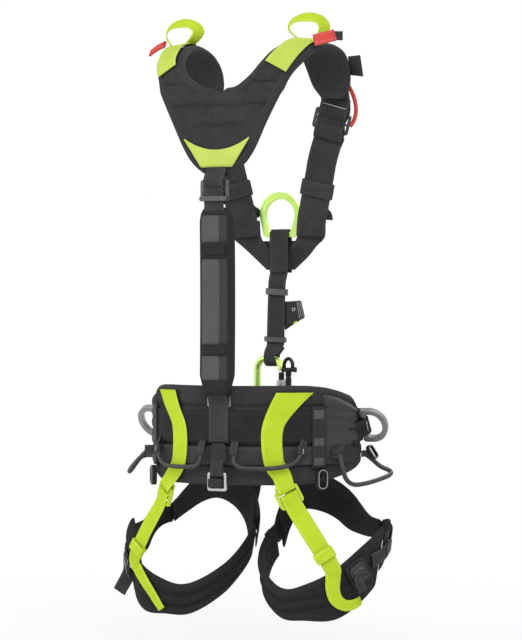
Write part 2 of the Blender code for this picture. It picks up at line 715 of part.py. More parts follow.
def build_back():
    buckle = np.array(REAR_BUCKLE)
    bar, height = 0.003, 0.029
    top_bar = buckle + (height - bar) / 2 * UP
    ladder_lock("rear_buckle", 0.041, height, frame(buckle, (1.0, 0.0, 0.0), BACKWARD), GREY_ALLOY)

    width = REAR_WEB
    rows = [row((0.0, -0.1000, 0.3630), BACKWARD, width), row((0.0, -0.1020, 0.3560), BACKWARD, width)]
    rows += bend(top_bar, BACKWARD, -UP, 0, 180, width)
    rows += [row((0.0, top_bar[1] + BAR_BEND, 0.3475), FORWARD, width)]
    ribbon("rear_strap_upper", rows, BLACK, spans=1)

    rows = [row((0.0, buckle[1] + BAR_BEND, 0.3140), FORWARD, width)]
    rows += bend(buckle, FORWARD, UP, 0, 180, width)
    rows += [row((0.0, -0.1075, 0.318), BACKWARD, width), row((0.0, -0.1062, 0.300), BACKWARD, width),
             row((0.0, -0.1045, 0.240), BACKWARD, width), row((0.0, -0.1045, 0.150), BACKWARD, width),
             row((0.0, -0.1045, 0.090), BACKWARD, width), row((0.0, -0.1010, 0.064), BACKWARD, width)]
    rows += [on_belt(0.0, z, BELT_OVER_LIFT, width) for z in (0.045, 0.020, -0.006)]
    ribbon("rear_strap", rows, BLACK)

    def dorsal(u, v):
        half = 0.0235 - 0.0065 * max(0.0, (v - 0.93) / 0.07) ** 2 - 0.006 * max(0.0, (0.08 - v) / 0.08) ** 2
        y = -0.0915 + 0.0020 * math.sin(math.pi * v)
        return np.array(((2 * u - 1) * half, y, DORSAL_BOTTOM + v * (DORSAL_TOP - DORSAL_BOTTOM)))

    def crown(u, v):
        to_side = (0.5 - abs(u - 0.5)) * 0.047
        to_end = min(v, 1.0 - v) * (DORSAL_TOP - DORSAL_BOTTOM)
        groove = max(math.exp(-((v - line) / 0.012) ** 2) for line in (0.145, 0.790))
        return rise(min(to_side, to_end), 0.009) * (1.0 - 0.25 * groove)

    sheet("dorsal_pad", dorsal, 6, 18, 0.0115, PADDING, crown=crown, thin=0.55)

    width, bend_radius = 0.018, 0.0030
    bar = np.array(RESTRAINT_BAR)
    rows = [row(bar + (0.0, bend_radius, 0.0105), FORWARD, width)]
    rows += bend(bar, FORWARD, -UP, 0, 180, width, bend_radius)
    rows += [row(bar + (0.0, -bend_radius, 0.0080), BACKWARD, width)]
    rows += [on_belt(0.0, z, BELT_OVER_LIFT, width) for z in (-0.026, -0.0075)]
    ribbon("restraint_patch", rows, BLACK, spans=1)

    middle = (0.0, -0.0108)
    place = frame(RESTRAINT_BAR, (1.0, 0.0, 0.0), BACKWARD)
    outlines = [rounded(0.0280, 0.0250, 0.0030, middle), rounded(0.0212, 0.0182, 0.0015, middle)]
    plate("restraint_ring", outlines, 0.0030, place, STEEL)


# Waist belt

def belt_edges(angle):
    """Lower and upper edge of the belt pad at an angle."""
    climb = max(0.0, abs(angle) / BELT_END - 0.40) / 0.60
    top = np.interp(abs(angle), *zip(*BELT_TOP_LINE))
    return BELT_BOTTOM + 0.032 * climb ** 1.5, top


def build_belt():
    def pad(u, v):
        angle = (2 * u - 1) * BELT_END
        low, high = belt_edges(angle)
        return waist(angle, low + v * (high - low), 0.0)

    def crown(u, v):
        angle = (2 * u - 1) * BELT_END
        low, high = belt_edges(angle)
        z = low + v * (high - low)
        to_edge = min(z - low, high - z, (BELT_END - abs(angle)) * 0.0025)
        seams = max(math.exp(-((z - line) / 0.0035) ** 2) for line in (0.043, -0.0100, -0.0385))
        return rise(to_edge, 0.012) * (1.0 - 0.35 * seams)

    sheet("belt_pad", pad, 40, 10, BELT_PAD, PADDING, crown=crown, thin=0.5)

    rows = []
    for angle in np.arange(-148.0, WAIST_BUCKLE_ANGLE - 7.0, 6.0):
        rows.append(row(waist(angle, BELT_WEB_Z, BELT_WEB_LIFT), waist_out(angle), WIDE_WEB))
    ribbon("waist_webbing", rows, BLACK, spans=1)

    buckle = waist(WAIST_BUCKLE_ANGLE, BELT_WEB_Z, BELT_WEB_LIFT + 0.0035)
    place = frame(buckle, UP, waist_out(WAIST_BUCKLE_ANGLE))
    ladder_lock("waist_buckle", 0.056, 0.030, place, GREY_ALLOY)

    rows = []
    for angle in np.arange(-72.0, 73.0, 6.0):
        rows.append(row(waist(angle, GEAR_BAND_Z, BELT_WEB_LIFT), waist_out(angle), GEAR_BAND_WIDTH))
    ribbon("gear_band", rows, BLACK, spans=1)

    for word, side in SIDES:
        build_suspension_strap(word, side)
        build_d_ring(word, side)
        build_gear_loops(word, side)


def adjuster_frame():
    """Middle, downward direction and outward direction of the right leg adjuster."""
    middle = waist(ADJUSTER_ANGLE, ADJUSTER_Z, 0.0165)
    out = waist_out(ADJUSTER_ANGLE)
    down = leg(27.0, 0.034, LEG_STRAP_LIFT) - middle
    down = unit(down - np.dot(down, out) * out)
    return middle, down, out


def build_suspension_strap(word, side):
    rows = [on_belt(x, z, BELT_OVER_LIFT, width) for x, z, width in SUSPENSION_LINE[word]]
    middle, down, out = adjuster_frame()
    bar = middle - (ADJUSTER_HEIGHT - 0.003) / 2 * down
    rows += bend(bar, out, down, 0, 180, 0.025)
    rows.append(row(bar - BAR_BEND * out - 0.006 * down, -out, 0.025))
    ribbon("suspension_strap_" + word, rows, LIME, side, level=4)

    place = frame(mirrored(middle, side), mirrored(np.cross(out, down), side), mirrored(out, side))
    ladder_lock("leg_adjuster_" + word, 0.034, ADJUSTER_HEIGHT, place, LIME)


def build_d_ring(word, side):
    """Side ring whose bar leans back at the top, under a webbing sleeve that crosses the bar squarely."""
    half, depth, stock = 0.0265, 0.033, 0.0075
    flat = 0.010

    def outline(inset):
        points = [(-stock / 2 + inset, half - inset), (-stock / 2 + inset, -half + inset)]
        return points + arc((flat, 0.0), depth - flat - inset, half - inset, -90, 90, 8)

    lean = math.radians(D_RING_LEAN)
    bar = waist(D_RING_ANGLE, BELT_WEB_Z, D_RING_LIFT)
    out = unit((math.cos(math.radians(7)), math.sin(math.radians(7)), 0.0))
    bar_up = math.cos(lean) * UP - math.sin(lean) * np.cross(UP, out)
    sideways = np.cross(out, bar_up)
    place = frame(mirrored(bar, side), mirrored(out, side), mirrored(sideways, side))
    plate("d_ring_" + word, [outline(0.0), outline(stock)], 0.0075, place, GREY_ALLOY, 0.0012)

    rows = []
    width = 0.026
    travel = math.cos(lean) * waist_along(D_RING_ANGLE) + math.sin(lean) * UP
    normal = waist_out(D_RING_ANGLE)
    for angle, climb in ((D_RING_ANGLE - 11, -0.0163), (D_RING_ANGLE - 6.5, -0.0096)):
        rows.append(row(waist(angle, BELT_WEB_Z + climb, BELT_OVER_LIFT), waist_out(angle), width))
    rows += bend(bar, -travel, normal, 25, 155, width, 0.0060)
    for angle, climb in ((D_RING_ANGLE + 8, 0.0045), (D_RING_ANGLE + 14, 0.0080)):
        rows.append(row(waist(angle, BELT_WEB_Z + climb, BELT_OVER_LIFT), waist_out(angle), width))
    ribbon("d_ring_sleeve_" + word, rows, BLACK, side, columns=5)


def side_loop_path(word):
    """Side gear loop as it hangs, swung outwards about the line between its ends."""
    path = np.array(SIDE_LOOP)
    turn = Matrix.Rotation(math.radians(SIDE_LOOP_SWING[word]), 3, Vector(path[0] - path[-1]))
    return [path[0] + np.array(turn @ Vector(point - path[0])) for point in path]


def build_gear_loops(word, side):
    def place(x, z, lift):
        return np.array(on_belt(x, z, lift, 0.0)[:3])

    points = [place(0.0245, -0.0140, 0.0168), place(0.0245, -0.0230, 0.0190), place(0.0260, -0.0330, 0.0215),
              place(0.0340, -0.0385, 0.0220), place(0.0520, -0.0400, 0.0220), place(0.0750, -0.0400, 0.0225),
              place(0.0920, -0.0370, 0.0220), place(0.1030, -0.0300, 0.0205), place(0.1070, -0.0200, 0.0185),
              place(0.1085, -0.0130, 0.0168)]
    rod("rear_gear_loop_" + word, smooth(points, 1), 0.0030, BLACK_PLASTIC, side)
    side_loop = rod("side_gear_loop_" + word, smooth(side_loop_path(word), 2), SIDE_LOOP_TUBE, BLACK_PLASTIC, side)
    pivot(side_loop, mirrored(SIDE_LOOP[0], side))


def build_ventral_loop():
    """Webbing loop round the front waist webbing; the carabiner and the leg bridge pass through it."""
    width = 0.018
    x = CARABINER_TOP[0] + 0.004
    back, front, low, high = 0.1030, 0.1370, -0.0290, 0.0430
    curve = 0.008
    rows = [row((x, back, 0.006), BACKWARD, width), row((x, back, low + 0.018), BACKWARD, width)]
    rows += bend((x, back + curve, low + curve), BACKWARD, -UP, 0, 90, width, curve, 3)
    rows += bend((x, front - curve, low + curve), FORWARD, -UP, 90, 0, width, curve, 3)
    rows += bend((x, front - curve, high - curve), FORWARD, UP, 0, 90, width, curve, 3)
    rows += bend((x, back + curve, high - curve), BACKWARD, UP, 90, 0, width, curve, 3)
    rows.append(row((x, back, 0.0075), BACKWARD, width))
    ribbon("ventral_loop", rows, BLACK, spans=1)


# Leg loops

def leg_front_edges(word, turn):
    """Lower and upper edge of a front leg pad at an angle."""
    edges = smooth(LEG_FRONT_EDGES[word], 4)
    return np.interp(turn, edges[:, 0], edges[:, 1]), np.interp(turn, edges[:, 0], edges[:, 2])


def build_leg(word, side):
    pad_start, pad_end = LEG_BACK_ENDS

    def back_half(turn):
        share = min(1.0, max(0.0, (turn + 15.0) / 75.0))
        return 0.0215 + 0.0195 * share * share * (3 - 2 * share)

    def back_pad(u, v):
        turn = pad_start + u * (pad_end - pad_start)
        return leg(turn, (2 * v - 1) * back_half(turn), 0.0)

    def back_crown(u, v):
        turn = pad_start + u * (pad_end - pad_start)
        half = back_half(turn)
        to_end = min(turn - pad_start, pad_end - turn)
        seams = max(math.exp(-(((2 * v - 1) * half - line) / 0.0035) ** 2) for line in (-0.008, 0.007))
        to_edge = min((1 - abs(2 * v - 1)) * half, to_end * 0.0015)
        return rise(to_edge, 0.010) * (1.0 - 0.3 * seams * rise(to_end, 40.0))

    sheet("leg_pad_" + word, back_pad, 20, 8, LEG_PAD, PADDING, side, crown=back_crown, thin=0.5)

    front_start, front_end = LEG_FRONT_ENDS

    def front_pad(u, v):
        turn = front_start + u * (front_end - front_start)
        low, high = leg_front_edges(word, turn)
        return leg(turn, low + v * (high - low) - leg_middle(turn), 0.0)

    def front_crown(u, v):
        turn = front_start + u * (front_end - front_start)
        low, high = leg_front_edges(word, turn)
        to_end = min(turn - front_start, front_end - turn) * 0.0015
        return rise(min((0.5 - abs(v - 0.5)) * (high - low), to_end), 0.011)

    sheet("leg_front_pad_" + word, front_pad, 16, 6, LEG_PAD, PADDING, side, crown=front_crown, thin=0.5)

    rows = []
    for turn in np.arange(66.0, 269.0, 7.0):
        share = rise(min(turn - 105.0, 268.0 - turn), 30.0)
        low, high = leg_front_edges(word, turn)
        up = share * ((low + high) / 2 - leg_middle(turn)) + LEG_BUCKLE_RISE * (1.0 - rise(turn - 66.0, 45.0))
        rows.append(row(leg(turn, up, LEG_WEB_LIFT), leg_out(turn), 0.022))
    ribbon("leg_webbing_" + word, rows, BLACK, side, spans=1)

    build_leg_strap(word, side)
    build_leg_buckle(word, side)


def build_leg_strap(word, side):
    middle, down, out = adjuster_frame()
    width = 0.025
    bar = middle
    rows = [row(bar - BAR_BEND * out + 0.0080 * down, -out, width)]
    rows += bend(bar, -out, -down, 0, 180, width)
    contact = leg(28.0, 0.044, LEG_STRAP_LIFT + 0.0015)
    start = bar + BAR_BEND * out + 0.018 * down
    facing = unit(out + leg_out(28.0))
    rows += [row(start, out, width), row(start + 0.5 * (contact - start) + 0.003 * facing, facing, width),
             row(contact, leg_out(28.0), 0.023)]
    for turn, up, foot_width in LEG_STRAP_FOOT[word]:
        rows.append(row(leg(turn, up, LEG_STRAP_LIFT + 0.0006), leg_out(turn), foot_width))
    ribbon("leg_strap_" + word, rows, LIME, side)


def leg_buckle_frame():
    """Middle, direction along the webbing and outward direction of the right leg buckle."""
    step = 4.0
    ahead = leg(LEG_BUCKLE_TURN + step, LEG_BUCKLE_RISE, 0.0)
    along = unit(ahead - leg(LEG_BUCKLE_TURN - step, LEG_BUCKLE_RISE, 0.0))
    out = leg_out(LEG_BUCKLE_TURN)
    out = unit(out - np.dot(out, along) * along)
    middle = leg(LEG_BUCKLE_TURN, LEG_BUCKLE_RISE, LEG_PAD + 0.0026)
    return middle, along, out


def build_leg_buckle(word, side):
    middle, along, out = leg_buckle_frame()
    across = np.cross(out, along)
    place = frame(mirrored(middle, side), mirrored(across, side), mirrored(out, side))
    plate("leg_buckle_frame_" + word, [rounded(0.036, 0.034, 0.005), rounded(0.026, 0.022, 0.002)], 0.0026,
          place, BLACK_ALLOY, 0.0006)
    hinge = middle + 0.0022 * out - 0.0130 * along
    place = frame(mirrored(hinge, side), mirrored(across, side), mirrored(out, side))
    sign = np.sign(np.dot(np.array(place.col[1][:3]), mirrored(along, side)))
    plate("leg_buckle_lever_" + word, [rounded(0.028, 0.024, 0.004, (0.0, sign * 0.0123))], 0.0014,
          place, GREY_ALLOY)


def build_leg_bridge():
    """Webbing between the leg loops, through the ventral loop."""
    width = 0.020
    low = -0.0175
    half = [row((0.0, 0.1195, low), UP, 0.016), row((0.014, 0.1195, low), UP, 0.016),
            row((0.028, 0.1200, low - 0.0015), unit((0.2, 0, 1)), 0.016),
            row((0.037, 0.1215, low - 0.011), unit((0.7, 0.4, 0.6)), 0.018),
            row((0.041, 0.1225, low - 0.028), unit((0.2, 0.9, 0.3)), width)]
    for turn, up in ((219.0, 0.045), (218.0, 0.024)):
        half.append(row(leg(turn, up, LEG_WEB_LIFT + 0.0030), leg_out(turn), width))
    other = [(-r[0], r[1], r[2], -r[3], r[4], r[5], r[6]) for r in half[:0:-1]]
    ribbon("leg_bridge", other + half, BLACK)


build_yoke()
build_tool_loop()
build_chest()
build_front_strap()
build_carabiner()
build_shackle()
build_back()
build_belt()
build_ventral_loop()
build_leg_bridge()
for side_word, side_sign in SIDES:
    build_lanyard_loop(side_word, side_sign)
    build_shoulder_strap(side_word, side_sign)
    build_leg(side_word, side_sign)
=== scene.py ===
"""Looks of the full-body tree climbing harness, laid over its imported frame.

Metres, +Z up. The wearer's back faces -Y and the right side faces +X.
"""

import math

import bmesh
import bpy
import numpy as np
from mathutils import Matrix, Vector


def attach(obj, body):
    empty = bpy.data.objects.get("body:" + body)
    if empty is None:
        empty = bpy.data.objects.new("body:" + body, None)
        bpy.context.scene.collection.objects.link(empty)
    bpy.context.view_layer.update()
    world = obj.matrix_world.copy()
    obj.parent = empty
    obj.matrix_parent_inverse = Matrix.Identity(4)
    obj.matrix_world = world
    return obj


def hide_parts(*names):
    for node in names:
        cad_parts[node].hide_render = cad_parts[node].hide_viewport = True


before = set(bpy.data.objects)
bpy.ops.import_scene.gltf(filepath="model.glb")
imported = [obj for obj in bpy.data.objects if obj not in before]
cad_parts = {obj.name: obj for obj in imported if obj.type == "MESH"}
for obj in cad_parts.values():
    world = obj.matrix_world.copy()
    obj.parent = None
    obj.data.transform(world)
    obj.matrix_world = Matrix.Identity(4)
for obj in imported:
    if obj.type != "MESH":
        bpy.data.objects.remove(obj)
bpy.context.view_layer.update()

# Webbing thickness, widths, and the bend of webbing round a buckle bar
WEB = 0.0015
WIDE_WEB = 0.044
REAR_WEB = 0.029
NARROW_WEB = 0.027
BAR_BEND = 0.0034

# Waist: half width, depth to the back and to the front of its middle, all on the wearer's side of the pad
WAIST_HALF = 0.138
WAIST_Y = 0.047
WAIST_BACK = 0.126
WAIST_FRONT = 0.048
BELT_PAD = 0.0110
BELT_END = 106.0
BELT_BOTTOM = -0.064
BELT_TOP_LINE = ((0.0, 0.0700), (40.0, 0.0705), (50.5, 0.0700), (61.5, 0.0674), (70.5, 0.0628),
                 (83.0, 0.0552), (86.5, 0.0462), (90.0, 0.0372), (106.0, 0.0200))
BELT_WEB_LIFT = 0.0117
BELT_WEB_Z = 0.015
BELT_OVER_LIFT = 0.0138
GEAR_BAND_Z = -0.024
GEAR_BAND_WIDTH = 0.024
D_RING_ANGLE = 89.0
D_RING_LIFT = 0.0187
D_RING_LEAN = 34.0
SUSPENSION_LINE = {
    "right": ((0.0980, 0.0610, 0.052), (0.0860, 0.0420, 0.041), (0.0750, 0.0210, 0.0315),
              (0.0715, 0.0050, 0.029), (0.0720, -0.0170, 0.0285), (0.0750, -0.0360, 0.027),
              (0.0830, -0.0500, 0.026)),
    "left": ((0.0890, 0.0635, 0.040), (0.0790, 0.0420, 0.034), (0.0670, 0.0210, 0.029),
             (0.0635, 0.0050, 0.0285), (0.0635, -0.0170, 0.0285), (0.0670, -0.0360, 0.0275),
             (0.0770, -0.0500, 0.026)),
}
WAIST_BUCKLE_ANGLE = 202.0

# Leg loops: middle of the loop, inner radius, taper down the thigh, and angle from the back with height
LEG_X = 0.100
LEG_Y = 0.037
LEG_RADIUS = 0.0805
LEG_TAPER = 0.18
LEG_LINE = (
    (-112, -0.140), (-82, -0.170), (-54, -0.200), (-21, -0.2245), (5, -0.2215), (32, -0.2105), (62, -0.182),
    (85, -0.161), (110, -0.142), (135, -0.121), (180, -0.105), (219, -0.118), (248, -0.140), (270, -0.158),
)
LEG_PAD = 0.0090
LEG_WEB_LIFT = 0.0102
LEG_STRAP_LIFT = 0.0104
LEG_BUCKLE_TURN = 52.0
LEG_BUCKLE_RISE = 0.013
LEG_BACK_ENDS = (-104.0, 84.0)
LEG_FRONT_ENDS = (135.0, 248.0)

# Foot of each leg strap on its pad: angle round the leg, height over the middle line, width
LEG_STRAP_FOOT = {
    "right": ((29.5, 0.030, 0.0210), (29.5, 0.013, 0.0195), (32.5, -0.004, 0.0180), (40.0, -0.0185, 0.0160),
              (49.0, -0.0275, 0.0150), (57.0, -0.030, 0.0130)),
    "left": ((26.0, 0.030, 0.0210), (20.0, 0.018, 0.0180), (13.5, 0.006, 0.0150), (8.0, -0.006, 0.0130),
             (3.5, -0.016, 0.0110)),
}

# Front leg pads: angle round the leg, then lower and upper edge; the two loops hang a little unlike
LEG_FRONT_EDGES = {
    "right": ((135, -0.1435, -0.118), (155, -0.1425, -0.112), (176, -0.135, -0.083), (190, -0.121, -0.068),
              (205, -0.111, -0.058), (223, -0.108, -0.057), (236, -0.128, -0.078), (248, -0.160, -0.118)),
    "left": ((135, -0.131, -0.104), (150, -0.116, -0.078), (165, -0.102, -0.056), (180, -0.097, -0.048),
             (198, -0.106, -0.051), (215, -0.121, -0.064), (232, -0.140, -0.091), (248, -0.161, -0.119)),
}

# Shoulder yoke: inner and outer edge of the right half, from the lower tip over the shoulder to the chest
YOKE_PAD = 0.0095
YOKE_NECK_STATION = 4
YOKE_INNER = (
    (0.000, -0.097, 0.351), (0.000, -0.098, 0.372), (0.000, -0.098, 0.400), (0.000, -0.096, 0.432),
    (0.000, -0.094, 0.4645), (0.024, -0.096, 0.470), (0.046, -0.096, 0.487), (0.059, -0.086, 0.508),
    (0.065, -0.062, 0.526), (0.069, -0.034, 0.537), (0.069, 0.000, 0.541), (0.066, 0.035, 0.533),
    (0.065, 0.062, 0.514), (0.069, 0.078, 0.489), (0.080, 0.085, 0.471),
)
YOKE_OUTER = (
    (0.016, -0.097, 0.352), (0.037, -0.097, 0.368), (0.053, -0.096, 0.390), (0.069, -0.096, 0.424),
    (0.087, -0.0925, 0.4604), (0.093, -0.088, 0.473), (0.098, -0.082, 0.485), (0.1065, -0.070, 0.502),
    (0.113, -0.050, 0.518), (0.117, -0.027, 0.5305), (0.1212, 0.003, 0.5365), (0.1292, 0.036, 0.5320),
    (0.1305, 0.061, 0.511), (0.124, 0.077, 0.484), (0.110, 0.084, 0.468),
)

# Chest and front strap
STERNAL_BAR = (0.0, 0.1165, 0.280)
FRONT_TOP = (-0.0035, 0.1125, 0.212)
FRONT_END = (-0.0089, 0.1180, 0.124)
SLIDER_UPPER = 0.15
SLIDER_LOWER = 0.92
KEEPER_TOP = (0.0725, 0.0975, 0.385)
KEEPER_END = (0.0530, 0.1040, 0.300)
SHOULDER_BUCKLE = (0.0880, 0.0935, 0.437)

# Carabiner: middle of the top bar, width and height between bar centres, turn about the vertical
CARABINER_TOP = (-0.0203, 0.1225, 0.1035)
CARABINER_WIDTH = 0.044
CARABINER_HEIGHT = 0.083
CARABINER_BAR = 0.0048
CARABINER_TURN = -15.0
GATE_LOW = -0.0630
GATE_HIGH = -0.0190
GATE_RADIUS = 0.0042

# Back
REAR_BUCKLE = (0.0, -0.1055, 0.3327)
DORSAL_TOP = 0.310
RESTRAINT_BAR = (0.0, -0.0975, -0.0480)

# Side gear loop of the right side, from its rear to its front sewn end
SIDE_LOOP = (
    (0.1440, -0.0170, -0.022), (0.1500, -0.0205, -0.0390), (0.1555, -0.0190, -0.0560),
    (0.1625, -0.0090, -0.0635), (0.1715, 0.0105, -0.0630), (0.1805, 0.0365, -0.0590),
    (0.1870, 0.0600, -0.0540), (0.1845, 0.0700, -0.0490), (0.1720, 0.0670, -0.0430),
    (0.1600, 0.0640, -0.0330), (0.1516, 0.0580, -0.025))
SIDE_LOOP_TUBE = 0.0032
SIDE_LOOP_SWING = {"right": 0.0, "left": 22.0}

SIDES = (("right", 1), ("left", -1))
UP = np.array((0.0, 0.0, 1.0))
BACKWARD = np.array((0.0, -1.0, 0.0))
FORWARD = np.array((0.0, 1.0, 0.0))


def unit(vector):
    vector = np.array(vector, dtype=float)
    return vector / np.linalg.norm(vector)


def mirrored(point, side):
    return np.array((point[0] * side, point[1], point[2]))


def axes(origin, across, facing):
    """Matrix with local X along across, local Z along facing and local Y square to both."""
    z_axis = unit(facing)
    x_axis = unit(np.array(across) - np.dot(across, z_axis) * z_axis)
    y_axis = np.cross(z_axis, x_axis)
    matrix = Matrix.Identity(4)
    for column, axis in enumerate((x_axis, y_axis, z_axis, np.array(origin))):
        for row in range(3):
            matrix[row][column] = axis[row]
    return matrix


def smooth(rows, spans):
    """Points on a smooth curve through all rows, with the given number of steps between two rows."""
    knots = np.array(rows, dtype=float)
    padded = np.vstack((2 * knots[0] - knots[1], knots, 2 * knots[-1] - knots[-2]))
    points = []
    for index in range(len(knots) - 1):
        before, start, end, after = padded[index:index + 4]
        for step in range(spans):
            t = step / spans
            bend = 2 * before - 5 * start + 4 * end - after
            twist = 3 * start - before - 3 * end + after
            points.append(0.5 * (2 * start + (end - before) * t + bend * t ** 2 + twist * t ** 3))
    points.append(knots[-1])
    return np.array(points)


def row(point, facing, width):
    """One row of a webbing route: place, outward direction and width."""
    return (*point, *facing, width)


def bend(centre, first, second, start, end, width, radius=BAR_BEND, steps=6):
    """Route rows round a bar, from one angle to another in the plane of two directions."""
    rows = []
    for angle in np.linspace(math.radians(start), math.radians(end), steps + 1):
        out = math.cos(angle) * np.array(first) + math.sin(angle) * np.array(second)
        rows.append(row(np.array(centre) + radius * out, out, width))
    return rows


def arc(centre, radius_x, radius_y, start, end, steps):
    """Points of an elliptical arc."""
    points = []
    for angle in np.linspace(math.radians(start), math.radians(end), steps + 1):
        points.append((centre[0] + radius_x * math.cos(angle), centre[1] + radius_y * math.sin(angle)))
    return points


def rounded(width, height, radius, middle=(0.0, 0.0), steps=2):
    """Outline of a rectangle with round corners."""
    points = []
    for turn, (sx, sy) in enumerate(((1, 1), (-1, 1), (-1, -1), (1, -1))):
        corner = (middle[0] + sx * (width / 2 - radius), middle[1] + sy * (height / 2 - radius))
        points += arc(corner, radius, radius, 90 * turn, 90 * turn + 90, steps)
    return points


def rise(distance, reach):
    """Soft step from 0 at an edge to 1 at reach."""
    return math.sin(min(1.0, max(0.0, distance / reach)) * math.pi / 2)


def waist_depth(angle):
    return WAIST_BACK if math.cos(math.radians(angle)) > 0 else WAIST_FRONT


def waist_out(angle):
    turn = math.radians(angle)
    return unit((waist_depth(angle) * math.sin(turn), -WAIST_HALF * math.cos(turn), 0.0))


def waist(angle, z, lift):
    """Place on the belt: degrees from the middle of the back, and lift off the wearer's side of the pad."""
    turn = math.radians(angle)
    base = np.array((WAIST_HALF * math.sin(turn), WAIST_Y - waist_depth(angle) * math.cos(turn), z))
    return base + lift * waist_out(angle)


def waist_along(angle):
    out = waist_out(angle)
    return np.array((-out[1], out[0], 0.0))


def on_belt(x, z, lift, width):
    """Webbing row over the back of the belt at a given x."""
    angle = math.degrees(math.asin(x / (WAIST_HALF + lift)))
    return row(waist(angle, z, lift), waist_out(angle), width)


LEG_CURVE = smooth(LEG_LINE, 6)


def leg_middle(turn):
    return np.interp(turn, LEG_CURVE[:, 0], LEG_CURVE[:, 1])


def leg_out(turn):
    """Outward direction of the leg loop, which leans with the taper of the thigh."""
    angle = math.radians(turn)
    return unit((math.sin(angle), -math.cos(angle), -LEG_TAPER))


def leg(turn, rise_up, lift):
    """Place on the right leg loop: degrees from its back, height over its middle line, lift off the leg."""
    angle = math.radians(turn)
    radius = LEG_RADIUS + LEG_TAPER * rise_up
    base = np.array((LEG_X + radius * math.sin(angle), LEG_Y - radius * math.cos(angle),
                     leg_middle(turn) + rise_up))
    return base + lift * leg_out(turn)


YOKE_STEPS = 8
YOKE_SPLIT = YOKE_NECK_STATION + 1
YOKE_NECK_ROWS = ((-YOKE_INNER[YOKE_SPLIT][0], *YOKE_INNER[YOKE_SPLIT][1:]), *YOKE_INNER[YOKE_NECK_STATION:])
YOKE_EDGES = np.hstack((
    np.vstack((smooth(YOKE_INNER[:YOKE_SPLIT], YOKE_STEPS)[:-1],
               smooth(YOKE_NECK_ROWS, YOKE_STEPS)[YOKE_STEPS:])),
    smooth(YOKE_OUTER, YOKE_STEPS)))
YOKE_ROWS = len(YOKE_EDGES) - 1
YOKE_NECK = YOKE_NECK_STATION * YOKE_STEPS / YOKE_ROWS


def yoke_flat(u, v):
    """Outer face of the yoke: u runs from neck to outer edge, v from back tip to chest end."""
    place = np.clip(v, 0.0, 1.0) * YOKE_ROWS
    low = min(int(place), YOKE_ROWS - 1)
    edges = YOKE_EDGES[low] + (place - low) * (YOKE_EDGES[low + 1] - YOKE_EDGES[low])
    point = edges[:3] + u * (edges[3:] - edges[:3])
    point[0] = max(point[0], 0.0)
    return point


def yoke_out(u, v):
    step = 0.018
    ahead = yoke_flat(u, min(1.0, v + step)) - yoke_flat(u, max(0.0, v - step))
    wide = yoke_flat(1.0, v) - yoke_flat(0.0, v)
    return unit(np.cross(wide, ahead))


def yoke(u, v, lift):
    """Place on the yoke, lifted off the wearer's side of the pad."""
    point = yoke_flat(u, v) + (lift - YOKE_PAD) * yoke_out(u, v)
    if u < 0.001 and v <= YOKE_NECK + 0.001:
        point[0] = 0.0
    return point


def front_point(share):
    return np.array(FRONT_TOP) + share * (np.array(FRONT_END) - np.array(FRONT_TOP))


def carabiner_place(across, up):
    """Place in the carabiner's plane, measured from the middle of its top bar."""
    turn = math.radians(CARABINER_TURN)
    step = across * np.array((math.cos(turn), math.sin(turn), 0.0))
    return np.array(CARABINER_TOP) + step + up * UP


def belt_edges(angle):
    """Lower and upper edge of the belt pad at an angle."""
    climb = max(0.0, abs(angle) / BELT_END - 0.40) / 0.60
    top = np.interp(abs(angle), *zip(*BELT_TOP_LINE))
    return BELT_BOTTOM + 0.032 * climb ** 1.5, top


ADJUSTER_ANGLE = 37.0
ADJUSTER_Z = -0.0785
ADJUSTER_HEIGHT = 0.026


def adjuster_frame():
    """Middle, downward direction and outward direction of the right leg adjuster."""
    middle = waist(ADJUSTER_ANGLE, ADJUSTER_Z, 0.0165)
    out = waist_out(ADJUSTER_ANGLE)
    down = leg(27.0, 0.034, LEG_STRAP_LIFT) - middle
    down = unit(down - np.dot(down, out) * out)
    return middle, down, out


def leg_front_edges(word, turn):
    """Lower and upper edge of a front leg pad at an angle."""
    edges = smooth(LEG_FRONT_EDGES[word], 4)
    return np.interp(turn, edges[:, 0], edges[:, 1]), np.interp(turn, edges[:, 0], edges[:, 2])


def leg_buckle_frame():
    """Middle, direction along the webbing and outward direction of the right leg buckle."""
    step = 4.0
    ahead = leg(LEG_BUCKLE_TURN + step, LEG_BUCKLE_RISE, 0.0)
    along = unit(ahead - leg(LEG_BUCKLE_TURN - step, LEG_BUCKLE_RISE, 0.0))
    out = leg_out(LEG_BUCKLE_TURN)
    out = unit(out - np.dot(out, along) * along)
    middle = leg(LEG_BUCKLE_TURN, LEG_BUCKLE_RISE, LEG_PAD + 0.0026)
    return middle, along, out


# Materials

def new_material(name, colour, roughness, metallic=0.0, gloss=0.5):
    """A material with its tree and its shader."""
    finish = bpy.data.materials.new(name)
    finish.use_nodes = True
    tree = finish.node_tree
    shader = tree.nodes["Principled BSDF"]
    shader.inputs["Base Color"].default_value = (*colour, 1.0)
    shader.inputs["Roughness"].default_value = roughness
    shader.inputs["Metallic"].default_value = metallic
    shader.inputs["Specular IOR Level"].default_value = gloss
    return finish, tree, shader


def node(tree, kind, inputs, **settings):
    """A shader node with its settings, and its inputs set or linked."""
    made = tree.nodes.new(kind)
    for key, value in settings.items():
        setattr(made, key, value)
    for key, value in inputs.items():
        if isinstance(value, bpy.types.NodeSocket):
            tree.links.new(value, made.inputs[key])
        else:
            made.inputs[key].default_value = value
    return made


def maths(tree, operation, first, second=0.0):
    return node(tree, "ShaderNodeMath", {0: first, 1: second}, operation=operation).outputs[0]


def object_place(tree):
    return node(tree, "ShaderNodeTexCoord", {}).outputs["Object"]


def noise(tree, place, scale, detail=3.0):
    return node(tree, "ShaderNodeTexNoise",
                {"Vector": place, "Scale": scale, "Detail": detail}).outputs["Fac"]


